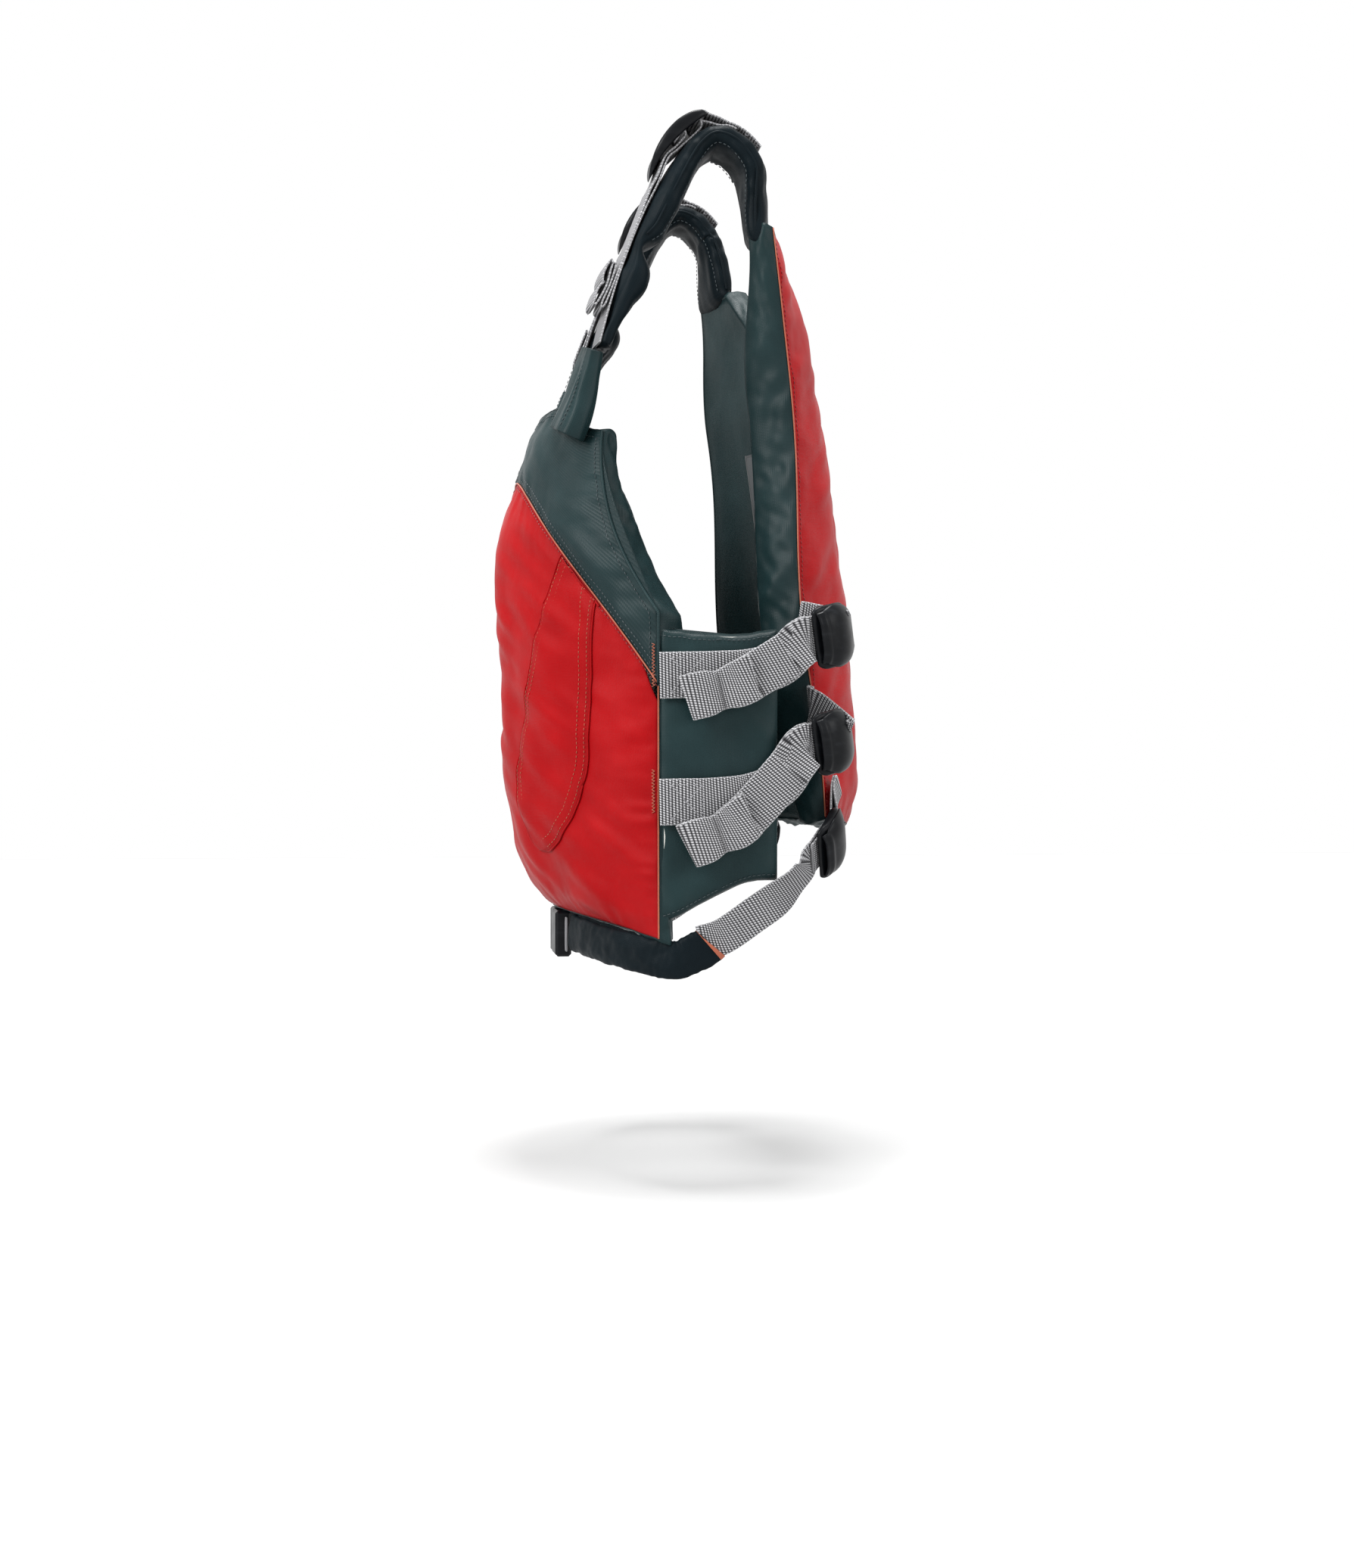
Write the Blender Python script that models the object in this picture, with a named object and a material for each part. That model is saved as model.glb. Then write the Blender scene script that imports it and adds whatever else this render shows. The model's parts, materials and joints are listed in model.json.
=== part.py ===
"""Low-profile paddling life jacket: foam front and back, padded shoulder straps, side flaps and webbing.

+X is the wearer's left, -Y the front and +Z up. Heights below are measured from the belt's lowest edge;
the empty that holds every piece sits HANG_HEIGHT under the point midway between the shoulder straps.
"""

import math

import bmesh
import bpy
from mathutils import Matrix, Vector

HANG_HEIGHT = 0.590

# Front panel
FRONT_HALF = 0.150
SEAM_Y = -0.035
FRONT_FOAM = 0.036
ARMHOLE_BOTTOM = 0.253
ARMHOLE_TOP = 0.395
CHEST_HALF = 0.113
NECK_HEIGHT = 0.410

# Back panel
BACK_HALF = 0.119
BACK_BOTTOM = 0.104
BACK_TOP = 0.530
BACK_FOAM = 0.038
BACK_NECK_DROP = 0.045
BACK_NECK_HALF = 0.066

# Side flaps
FLAP_FACE_X = 0.1525
FLAP_REAR_Y = 0.050
FLAP_THICK = 0.019
FLAP_TOP = 0.2425
FLAP_FOAM_CLEAR = 0.0035

# Shoulder straps and webbing
STRAP_X = 0.097
PAD_WIDTH = 0.052
WEB_WIDTH = 0.032
WEB_THICK = 0.0018
SKIN = 0.0012
GAP = 0.0003
LAYER = SKIN + GAP
BAND_CLEAR = 0.0026
FOAM_CLEAR = 0.0031
FOAM_MARGIN = 0.0058

# Ladder-lock buckles: the anchor bar's axis is the local origin, and the strap comes from -X. The long lip is
# over the front bar, the short one over the anchor bar.
BUCKLE_WIDTH = 0.044
BUCKLE_LENGTH = 0.030
BUCKLE_THICK = 0.004
BAR_RADIUS = 0.002
SLOT_LENGTH = 0.0345
SLOT_WIDTH = 0.0036
LONG_LIP = 0.024
SHORT_LIP = 0.010

# Front clip
CLIP_LENGTH = 0.034
CLIP_HEIGHT = 0.034
CLIP_DEPTH = 0.012
CLIP_WALL = 0.002
CLIP_Y = -0.090
CLIP_HEIGHT_UP = 0.024

COLOURS = {
    "red_nylon": ((0.62, 0.004, 0.010), 0.55),
    "slate_nylon": ((0.022, 0.040, 0.046), 0.60),
    "foam": ((0.75, 0.75, 0.72), 0.90),
    "grey_webbing": ((0.30, 0.30, 0.31), 0.80),
    "black_plastic": ((0.012, 0.013, 0.015), 0.35),
    "label_fabric": ((0.35, 0.36, 0.37), 0.70),
}


def clear_scene():
    for found in list(bpy.data.objects):
        bpy.data.objects.remove(found, do_unlink=True)


def new_collection(name):
    made = bpy.data.collections.new(name)
    bpy.context.scene.collection.children.link(made)
    return made


def make_material(name):
    colour, roughness = COLOURS[name]
    material = bpy.data.materials.new(name)
    material.use_nodes = True
    shader = material.node_tree.nodes["Principled BSDF"]
    shader.inputs["Base Color"].default_value = (*colour, 1.0)
    shader.inputs["Roughness"].default_value = roughness
    return material


def mix(low, high, share):
    return low + (high - low) * share


def ease(share):
    share = min(max(share, 0.0), 1.0)
    return share * share * (3.0 - 2.0 * share)


def smooth_path(points):
    """A function of 0..1 that runs through the points on a Catmull-Rom curve."""
    points = [Vector(point) for point in points]

    def at(share):
        place = min(max(share, 0.0), 1.0) * (len(points) - 1)
        i = min(int(place), len(points) - 2)
        t = place - i
        first, last = points[i], points[i + 1]
        before = points[max(i - 1, 0)]
        after = points[min(i + 2, len(points) - 1)]
        leave = (last - before) / 2.0
        arrive = (after - first) / 2.0
        return (
            first * (2 * t**3 - 3 * t**2 + 1)
            + leave * (t**3 - 2 * t**2 + t)
            + last * (3 * t**2 - 2 * t**3)
            + arrive * (t**3 - t**2)
        )

    return at


def height_curve(knots):
    """A smooth function of height through (height, value) knots, held flat past its ends."""

    def at(height):
        height = min(max(height, knots[0][0]), knots[-1][0])
        i = 0
        while i < len(knots) - 2 and height > knots[i + 1][0]:
            i += 1
        slopes = []
        for k in (i, i + 1):
            low = knots[max(k - 1, 0)]
            high = knots[min(k + 1, len(knots) - 1)]
            slopes.append((high[1] - low[1]) / (high[0] - low[0]))
        (h0, y0), (h1, y1) = knots[i], knots[i + 1]
        run = h1 - h0
        t = (height - h0) / run
        return (
            y0 * (2 * t**3 - 3 * t**2 + 1)
            + slopes[0] * run * (t**3 - 2 * t**2 + t)
            + y1 * (3 * t**2 - 2 * t**3)
            + slopes[1] * run * (t**3 - t**2)
        )

    return at


FRONT_CENTRE_Y = height_curve([
    (0.030, -0.084), (0.056, -0.107), (0.098, -0.123), (0.223, -0.133),
    (0.300, -0.1365), (0.363, -0.124), (0.410, -0.107), (0.460, -0.094),
])
BACK_CENTRE_Y = height_curve([
    (0.100, 0.129), (0.141, 0.134), (0.241, 0.128), (0.335, 0.118),
    (0.433, 0.103), (0.485, 0.090), (0.535, 0.070),
])
BACK_EDGE_Y = height_curve([
    (0.100, 0.092), (0.154, 0.088), (0.265, 0.073), (0.479, 0.0586), (0.535, 0.053),
])


def front_y(x, height):
    centre = FRONT_CENTRE_Y(height)
    return centre + (SEAM_Y - centre) * (x / FRONT_HALF) ** 2


def back_y(x, height):
    centre = BACK_CENTRE_Y(height)
    return centre + (BACK_EDGE_Y(height) - centre) * (x / BACK_HALF) ** 2


def below_face(face, outward, x, height, depth):
    """The point at this depth under a face y(x, height) whose outside looks along outward * Y."""
    step = 0.002
    slope_x = (face(x + step, height) - face(x - step, height)) / (2 * step)
    slope_h = (face(x, height + step) - face(x, height - step)) / (2 * step)
    normal = Vector((-slope_x, 1.0, -slope_h)).normalized() * outward
    return Vector((x, face(x, height), height)) - normal * depth


def front_half_width(height):
    above = max(ARMHOLE_TOP - max(height, ARMHOLE_BOTTOM), 0.0)
    share = above / (ARMHOLE_TOP - ARMHOLE_BOTTOM)
    return mix(CHEST_HALF, FRONT_HALF, share**1.8)


def front_bottom(x):
    return 0.042 - 0.62 * x * x


def front_top(x):
    return NECK_HEIGHT - 0.025 * ease((abs(x) - 0.050) / 0.063)


def yoke_seam(x):
    return 0.362 - 7.0 * x * x


def front_thickness(height):
    full = FRONT_FOAM * mix(0.45, 1.0, ease((height - 0.030) / 0.080))
    return full * mix(1.0, 0.62, ease((height - 0.320) / 0.090))


def back_half_width(height):
    return BACK_HALF - 0.008 * math.sin(math.pi * ease((height - 0.250) / 0.280))


def back_bottom(x):
    return BACK_BOTTOM + 0.45 * x * x


def back_top(x):
    return BACK_TOP - BACK_NECK_DROP * max(1.0 - (x / BACK_NECK_HALF) ** 2, 0.0)


def back_thickness(height):
    full = BACK_FOAM * mix(0.60, 1.0, ease((height - BACK_BOTTOM) / 0.060))
    return full * mix(1.0, 0.55, ease((height - 0.420) / 0.110))


def panel_point(panel, across, up, depth, margin):
    """across and up run 0..1 over the panel's outline, drawn in by margin; depth is under its face."""
    low_edge, high_edge = panel["lower"](panel["half"](0.0)), panel["upper"](panel["half"](1.0))
    half = panel["half"](mix(low_edge, high_edge, up)) - margin
    x = (2.0 * across - 1.0) * half
    height = mix(panel["lower"](x) + margin, panel["upper"](x) - margin, up)
    return below_face(panel["face"], panel["outward"], x, height, depth(height))


FRONT = {"face": front_y, "outward": -1.0, "half": front_half_width,
         "lower": front_bottom, "upper": front_top, "thickness": front_thickness}
RED_FRONT = {**FRONT, "upper": lambda x: yoke_seam(x) - GAP}
YOKE = {**FRONT, "lower": lambda x: yoke_seam(x) + GAP}
BACK = {"face": back_y, "outward": 1.0, "half": back_half_width,
        "lower": back_bottom, "upper": back_top, "thickness": back_thickness}


class Jacket:
    """Holds the collections, the materials and the empty that every piece hangs from."""

    def __init__(self):
        self.parts = new_collection("life_jacket")
        self.cutters = new_collection("cutters")
        self.materials = {name: make_material(name) for name in COLOURS}
        self.root = bpy.data.objects.new("belt_level", None)
        self.root.location.z = -HANG_HEIGHT
        self.parts.objects.link(self.root)

    def add(self, name, mesh, material, matrix=None):
        if not mesh.materials:
            mesh.materials.append(self.materials[material])
        piece = bpy.data.objects.new(name, mesh)
        piece.parent = self.root
        piece.matrix_basis = matrix or Matrix.Identity(4)
        self.parts.objects.link(piece)
        return piece

    def cutter(self, name, mesh):
        piece = bpy.data.objects.new(name, mesh)
        piece.hide_render = True
        piece.display_type = "WIRE"
        self.cutters.objects.link(piece)
        return piece


def mesh_of(name, bm):
    bmesh.ops.recalc_face_normals(bm, faces=bm.faces[:])
    if bm.calc_volume(signed=True) < 0.0:
        bmesh.ops.reverse_faces(bm, faces=bm.faces[:])
    mesh = bpy.data.meshes.new(name)
    bm.to_mesh(mesh)
    bm.free()
    mesh.shade_smooth()
    mesh.set_sharp_from_angle(angle=math.radians(40))
    return mesh


def slab_mesh(name, place, columns, rows):
    """A grid pulled into a slab: place(u, v, w) gives the point, with w 0 on its face and 1 on its back."""
    bm = bmesh.new()
    bmesh.ops.create_grid(bm, x_segments=columns, y_segments=rows, size=0.5)
    grown = bmesh.ops.extrude_face_region(bm, geom=bm.faces[:], use_keep_orig=True)
    backs = {item for item in grown["geom"] if isinstance(item, bmesh.types.BMVert)}
    for vert in bm.verts:
        u, v = vert.co.x + 0.5, vert.co.y + 0.5
        vert.co = place(u, v, 1.0 if vert in backs else 0.0)
    return mesh_of(name, bm)


def panel_layer(panel, top_depth, bottom_depth, margin):
    """place() for a layer of a panel; the depths are functions of height."""

    def place(u, v, w):
        return panel_point(panel, u, v, lambda h: mix(top_depth(h), bottom_depth(h), w), margin)

    return place


def skin_place(panel):
    return panel_layer(panel, lambda h: 0.0, lambda h: SKIN, 0.0)


def lining_place(panel):
    thickness = panel["thickness"]
    return panel_layer(panel, lambda h: thickness(h) - SKIN, thickness, 0.0)


def foam_place(panel):
    thickness = panel["thickness"]
    return panel_layer(panel, lambda h: FOAM_CLEAR, lambda h: thickness(h) - FOAM_CLEAR, FOAM_MARGIN)


def gusset_place(panel):
    """A band round the panel's edge. It starts and ends at the middle of the lower edge."""
    thickness = panel["thickness"]
    corners = [(0.5, 0.0), (1.0, 0.0), (1.0, 1.0), (0.0, 1.0), (0.0, 0.0), (0.5, 0.0)]
    spans = [0.0, 0.125, 0.375, 0.625, 0.875, 1.0]
    clear = 0.002

    def place(u, v, w):
        u = mix(clear, 1.0 - clear, u)
        i = max(k for k in range(5) if spans[k] <= u)
        share = (u - spans[i]) / (spans[i + 1] - spans[i])
        across = mix(corners[i][0], corners[i + 1][0], share)
        up = mix(corners[i][1], corners[i + 1][1], share)
        margin = mix(GAP, LAYER, w)
        return panel_point(panel, across, up, lambda h: mix(BAND_CLEAR, thickness(h) - BAND_CLEAR - GAP, v), margin)

    return place


def mirrored(place, side):
    """The same place() on the wearer's left (side 1) or right (side -1)."""

    def placed(u, v, w):
        point = place(u, v, w)
        return Vector((point.x * side, point.y, point.z))

    return placed


def band_place(path, facing, width, thickness):
    """place() for a strip along path(v), its outer face looking along facing(v)."""
    step = 0.002

    def place(u, v, w):
        tangent = path(min(v + step, 1.0)) - path(max(v - step, 0.0))
        out = facing(v)
        out = (out - tangent * out.dot(tangent) / tangent.length_squared).normalized()
        across = tangent.cross(out).normalized()
        return path(v) + across * (u - 0.5) * width(v) - out * w * thickness(v)

    return place


def fixed(value):
    return lambda share: value


def add_front(jacket):
    layers = [
        ("front_red_panel", "red_nylon", skin_place(RED_FRONT), 20, 8),
        ("front_yoke", "slate_nylon", skin_place(YOKE), 20, 6),
        ("front_gusset", "slate_nylon", gusset_place(FRONT), 32, 1),
        ("front_foam_core", "foam", foam_place(FRONT), 16, 8),
        ("front_lining", "slate_nylon", lining_place(FRONT), 16, 8),
    ]
    for name, material, place, columns, rows in layers:
        jacket.add(name, slab_mesh(name, place, columns, rows), material)


def add_back(jacket):
    layers = [
        ("back_red_panel", "red_nylon", skin_place(BACK), 14, 10),
        ("back_gusset", "slate_nylon", gusset_place(BACK), 40, 1),
        ("back_foam_core", "foam", foam_place(BACK), 14, 10),
        ("back_lining", "slate_nylon", lining_place(BACK), 14, 10),
    ]
    for name, material, place, columns, rows in layers:
        jacket.add(name, slab_mesh(name, place, columns, rows), material)


def pocket_place(u, v, w):
    """A slanted U with its round end low, on the red panel."""
    widest, low_end, top_end = 0.150, 0.087, 0.300
    height = mix(low_end, top_end, v**1.5)
    centre = 0.064 + 0.20 * (height - low_end)
    if height < widest:
        half = 0.033 * math.sqrt(1.0 - ((height - widest) / (widest - low_end + 0.001)) ** 2)
    else:
        half = 0.033 - 0.136 * (height - widest)
    x = centre + (2.0 * u - 1.0) * half
    height = min(height, yoke_seam(x) - 0.003)
    clear = 0.0008
    return below_face(front_y, -1.0, x, height, mix(-clear - SKIN, -clear, w))


def tab_place(u, v, w):
    """The tapered tab that rises from the yoke's top edge to the shoulder strap."""
    inner = mix(0.054, 0.080, v)
    outer = mix(CHEST_HALF - 0.001, 0.114, v)
    x = mix(inner, outer, u)
    height = mix(front_top(x) + 2 * GAP, 0.4430, v)
    lean = -0.006 * v
    return Vector((x, front_y(x, height) + lean + mix(0.001, 0.009, w), height))


def add_pockets_and_tabs(jacket, side, hand):
    jacket.add(f"pocket_{hand}", slab_mesh("pocket", mirrored(pocket_place, side), 4, 10), "red_nylon")
    tab = slab_mesh("chest_tab", mirrored(tab_place, side), 3, 3)
    jacket.add(f"chest_tab_{hand}", tab, "slate_nylon")


def flap_bottom(y):
    return mix(0.037, 0.068, ease((y + 0.045) / 0.085))


def flap_plan(grow):
    """Corners of the flap in plan, from its front outer corner round the free end to the front inner one."""
    face, rear = FLAP_FACE_X + grow, FLAP_REAR_Y + grow
    back = FLAP_FACE_X - FLAP_THICK - grow
    return [(face, -0.030), (face, rear), (back, rear), (back, -0.006)]


def flap_foam_place(u, v, w):
    (x0, y0), (x1, y1), (x2, y2), (x3, y3) = flap_plan(-FLAP_FOAM_CLEAR)
    face = Vector((x0, mix(y0, y1, u), 0.0))
    back = Vector((x3, mix(y3, y2, u), 0.0))
    point = face.lerp(back, w)
    point.z = mix(flap_bottom(point.y) + FOAM_MARGIN, FLAP_TOP - FOAM_MARGIN, v)
    return point


def flap_cover_place(u, v, w):
    """A cloth sheet folded round the foam's face, free end and back."""
    outer, inner = flap_plan(0.0), flap_plan(-SKIN)
    i = min(int(u * 3.0), 2)
    share = u * 3.0 - i
    first = Vector((*outer[i], 0.0)).lerp(Vector((*inner[i], 0.0)), w)
    last = Vector((*outer[i + 1], 0.0)).lerp(Vector((*inner[i + 1], 0.0)), w)
    point = first.lerp(last, share)
    point.z = mix(flap_bottom(point.y), FLAP_TOP, v)
    return point


def add_flap(jacket, side, hand):
    """The flap's origin is on its hinge, the side seam."""
    hinge = Vector((FRONT_HALF * side, SEAM_Y, FLAP_TOP / 2.0))
    matrix = Matrix.Translation(hinge)
    for name, material, place, columns, rows in [
        ("side_flap_foam", "foam", flap_foam_place, 4, 3),
        ("side_flap_cover", "slate_nylon", flap_cover_place, 12, 3),
    ]:
        mesh = slab_mesh(name, mirrored(place, side), columns, rows)
        mesh.transform(Matrix.Translation(-hinge))
        jacket.add(f"{name}_{hand}", mesh, material, matrix)


SHOULDER_OUTER = [
    (STRAP_X - 0.005, 0.0535, 0.5325), (STRAP_X - 0.003, 0.0515, 0.556), (STRAP_X, 0.046, 0.579),
    (STRAP_X, 0.030, 0.597), (STRAP_X, 0.010, 0.602), (STRAP_X, -0.007, 0.592),
    (STRAP_X, -0.022, 0.571), (STRAP_X, -0.037, 0.543), (STRAP_X, -0.050, 0.512),
    (STRAP_X, -0.061, 0.480), (STRAP_X, -0.0700, 0.4462),
]


def outward_of(path):
    """The normal of a path over the shoulder, in its own upright plane."""
    step = 0.01

    def facing(share):
        run = path(min(share + step, 1.0)) - path(max(share - step, 0.0))
        return Vector((0.0, run.z, -run.y)).normalized()

    return facing


def lifted(path, facing, lift):
    return lambda share: path(share) + facing(share) * lift


def stretch(path, start, end):
    return lambda share: path(mix(start, end, share))


def add_shoulder(jacket, side, hand):
    outer = smooth_path(SHOULDER_OUTER)
    facing = outward_of(outer)

    def pad_thickness(share):
        padded = 1.0 - ease((share - 0.72) / 0.14)
        return mix(0.006, 0.018, padded)

    def pad_width(share):
        return mix(PAD_WIDTH, 0.036, ease((share - 0.55) / 0.45))

    pad = band_place(outer, facing, pad_width, pad_thickness)
    jacket.add(f"shoulder_pad_{hand}", slab_mesh("shoulder_pad", mirrored(pad, side), 2, 20), "slate_nylon")

    matrix = buckle_frame(SHOULDER_BUCKLE, SHOULDER_ALONG, SHOULDER_FACING, side)
    jacket.add(f"shoulder_buckle_{hand}", jacket.long_buckle, "black_plastic", matrix)

    sewn = stretch(lifted(outer, facing, WEB_THICK + GAP), 0.24, 0.385)
    add_web(jacket, f"shoulder_anchor_web_{hand}", sewn, stretch(facing, 0.24, 0.385), side, 10)
    load = stretch(lifted(outer, facing, WEB_THICK + GAP), 0.470, 1.0)
    add_web(jacket, f"shoulder_web_{hand}", load, stretch(facing, 0.470, 1.0), side, 16)

    start, end = 0.660, 0.930
    tail = stretch(lifted(outer, facing, 2 * WEB_THICK + 4 * GAP), start, end)
    add_tail(jacket, f"shoulder_tail_{hand}", tail, stretch(facing, start, end), side)


SHOULDER_ALONG = Vector((0.0, 0.751, 0.660))
SHOULDER_FACING = Vector((0.0, -0.660, 0.751))
SHOULDER_BUCKLE = Vector((STRAP_X, 0.0020, 0.6090))


def add_web(jacket, name, path, facing, side, rows, width=WEB_WIDTH):
    place = band_place(path, facing, fixed(width), fixed(WEB_THICK))
    return jacket.add(name, slab_mesh(name, mirrored(place, side), 1, rows), "grey_webbing")


def add_tail(jacket, name, path, facing, side):
    """A free webbing end with its rolled and stitched stop. Its origin is on the line where it bends."""

    def thickness(share):
        return mix(WEB_THICK, 0.0060, ease((share - 0.70) / 0.08))

    def raised(share):
        return path(share) + facing(share).normalized() * (thickness(share) - WEB_THICK)

    place = mirrored(band_place(raised, facing, fixed(WEB_WIDTH), thickness), side)
    hinge = path(0.0)
    hinge.x *= side
    mesh = slab_mesh(name, place, 1, 12)
    mesh.transform(Matrix.Translation(-hinge))
    return jacket.add(name, mesh, "grey_webbing", Matrix.Translation(hinge))


def box_mesh(name, low, high, bevel=0.0):
    bm = bmesh.new()
    bmesh.ops.create_cube(bm, size=1.0)
    low, high = Vector(low), Vector(high)
    for vert in bm.verts:
        vert.co = Vector(mix(low[i], high[i], vert.co[i] + 0.5) for i in range(3))
    if bevel:
        bmesh.ops.bevel(bm, geom=bm.edges[:], offset=bevel, segments=1, affect="EDGES", profile=0.5)
    return mesh_of(name, bm)


def cut_and_joined(jacket, name, base, cuts=(), joins=()):
    """The base mesh with the cutters taken out and the others joined, as one mesh."""
    piece = jacket.cutter(f"{name}_blank", base)
    steps = [("UNION", mesh) for mesh in joins] + [("DIFFERENCE", mesh) for mesh in cuts]
    for i, (operation, mesh) in enumerate(steps):
        other = jacket.cutter(f"{name}_tool_{i}", mesh)
        modifier = piece.modifiers.new(f"step_{i}", "BOOLEAN")
        modifier.operation = operation
        modifier.object = other
    graph = bpy.context.evaluated_depsgraph_get()
    made = bpy.data.meshes.new_from_object(piece.evaluated_get(graph))
    piece.modifiers.clear()
    made.name = name
    return made


def lip_place(start, end):
    """An arched, narrowing lip along the buckle from start, on one of its bars, to end."""
    width = BUCKLE_WIDTH - 0.006

    def place(u, v, w):
        arch = 0.0035 * math.sin(math.pi * min(v + 0.15, 1.0))
        half = width / 2.0 * math.sqrt(1.0 - (0.85 * v**2) ** 2)
        z = -0.0012 + arch + mix(0.0030, 0.0, w)
        return Vector((mix(start, end, v), (2.0 * u - 1.0) * half, z))

    return place


def buckle_mesh(jacket, name, lip_start, lip_end):
    half = BUCKLE_WIDTH / 2.0
    thick = BUCKLE_THICK / 2.0
    frame = box_mesh("frame", (-BUCKLE_LENGTH, -half, -thick), (BAR_RADIUS, half, thick), bevel=0.0012)
    lip = slab_mesh("lip", lip_place(lip_start, lip_end), 4, 5)
    cuts = []
    for start in (-BAR_RADIUS - SLOT_WIDTH, -0.0190):
        low = (start, -SLOT_LENGTH / 2.0, -0.02)
        high = (start + SLOT_WIDTH, SLOT_LENGTH / 2.0, 0.02)
        cuts.append(box_mesh("slot", low, high))
    return cut_and_joined(jacket, name, frame, cuts, [lip])


def buckle_frame(origin, along, facing, side):
    """Local X runs along the strap to the anchor bar, Z faces outward and Y lies on the bar."""
    flip = Vector((side, 1.0, 1.0))
    along = (along * flip).normalized()
    facing = (facing * flip).normalized()
    facing = (facing - along * facing.dot(along)).normalized()
    bar = facing.cross(along)
    matrix = Matrix((along, bar, facing)).transposed().to_4x4()
    matrix.translation = origin * flip
    return matrix


# Each side strap: height at the seam, height at the buckle, height of its anchor, the tail's drop
SIDE_STRAPS = {"upper": (0.2095, 0.2370, 0.2490, 0.016), "lower": (0.1225, 0.1630, 0.1890, 0.030)}
SIDE_ALONG = Vector((-0.62, 0.74, 0.20))
SIDE_FACING = Vector((0.76, 0.63, 0.0))


def out_of_side(share):
    return Vector((1.0, 0.25 * ease(share * 2.0 - 1.0), 0.0))


def add_side_strap(jacket, level, side, hand):
    seam, buckle, anchor, drop = SIDE_STRAPS[level]
    face = FLAP_FACE_X + WEB_THICK + GAP
    rear = mix(seam, buckle, 0.62)
    strap = smooth_path([
        (face + 0.0003, -0.029, seam), (face + 0.0008, 0.005, seam + 0.001),
        (face + 0.0015, 0.045, mix(seam, rear, 0.6)), (face - 0.0010, 0.0700, rear),
    ])
    add_web(jacket, f"side_strap_{level}_{hand}", strap, out_of_side, side, 10)

    bar = Vector((0.1400, 0.0970, buckle + 0.004))
    matrix = buckle_frame(bar, SIDE_ALONG, SIDE_FACING, side)
    jacket.add(f"side_buckle_{level}_{hand}", jacket.short_buckle, "black_plastic", matrix)

    tie = smooth_path([
        (0.1215, BACK_EDGE_Y(anchor) - 0.002, anchor), (0.1255, 0.0800, anchor - 0.002),
        (0.1325, 0.0905, buckle + 0.006),
    ])
    add_web(jacket, f"side_anchor_{level}_{hand}", tie, lambda share: Vector((1.0, 0.0, 0.0)), side, 6)

    lift = WEB_THICK + 3 * GAP + 0.0012
    start, end = rear - 0.002, seam - drop
    tail = smooth_path([
        (face + lift + 0.0010, 0.0560, start), (face + lift + 0.0022, 0.0200, (start + end) / 2.0 - 0.4 * drop),
        (face + lift + 0.0015, -0.0160, end),
    ])
    add_tail(jacket, f"side_tail_{level}_{hand}", tail, fixed(Vector((1.0, 0.0, 0.0))), side)


BELT_PATH = [
    (0.046, -0.0835), (0.080, -0.0735), (0.115, -0.0560), (0.139, -0.0350), (0.148, -0.0150), (0.1505, 0.0020),
]
BELT_TOPS = [(0.0, 0.0395), (0.4, 0.0325), (0.7, 0.0265), (0.85, 0.0310), (1.0, 0.0385)]
WAIST_ALONG = Vector((-0.66, 0.50, 0.56))
WAIST_FACING = Vector((0.30, 0.95, 0.0))


def sleeve_place(u, v, w):
    """The cloth sleeve that carries the belt under the front panel."""
    path = smooth_path([(x, y, 0.0) for x, y in BELT_PATH])
    point = path(v)
    run = path(min(v + 0.01, 1.0)) - path(max(v - 0.01, 0.0))
    out = Vector((run.y, -run.x, 0.0)).normalized()
    top = height_curve(BELT_TOPS)(v)
    fat = 0.004 * math.sin(math.pi * mix(0.12, 0.88, u))
    point += out * mix(fat, -fat, w)
    point.z = mix(top, top - 0.0265, u)
    return point


def add_belt(jacket, side, hand):
    sleeve = slab_mesh("belt_sleeve", mirrored(sleeve_place, side), 4, 9)
    jacket.add(f"belt_sleeve_{hand}", sleeve, "slate_nylon")

    strap = smooth_path([
        (0.1508, 0.0110, 0.0240), (0.1510, 0.0320, 0.0385), (0.1490, 0.0520, 0.0505), (0.1470, 0.0680, 0.0720),
    ])
    add_web(jacket, f"belt_strap_{hand}", strap, fixed(Vector((1.0, 0.0, 0.0))), side, 8, 0.025)

    bar = Vector((0.1300, 0.0945, 0.1010))
    matrix = buckle_frame(bar, WAIST_ALONG, WAIST_FACING, side)
    jacket.add(f"belt_adjuster_{hand}", jacket.short_buckle, "black_plastic", matrix)

    lift = 0.004
    tie = smooth_path([
        (x, back_y(x, height) + lift, height) for x, height in ((0.1170, 0.1050), (0.1110, 0.1200), (0.1040, 0.1350))
    ])
    add_web(jacket, f"belt_anchor_{hand}", tie, fixed(Vector((0.35, 1.0, 0.15))), side, 6, 0.025)


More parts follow.
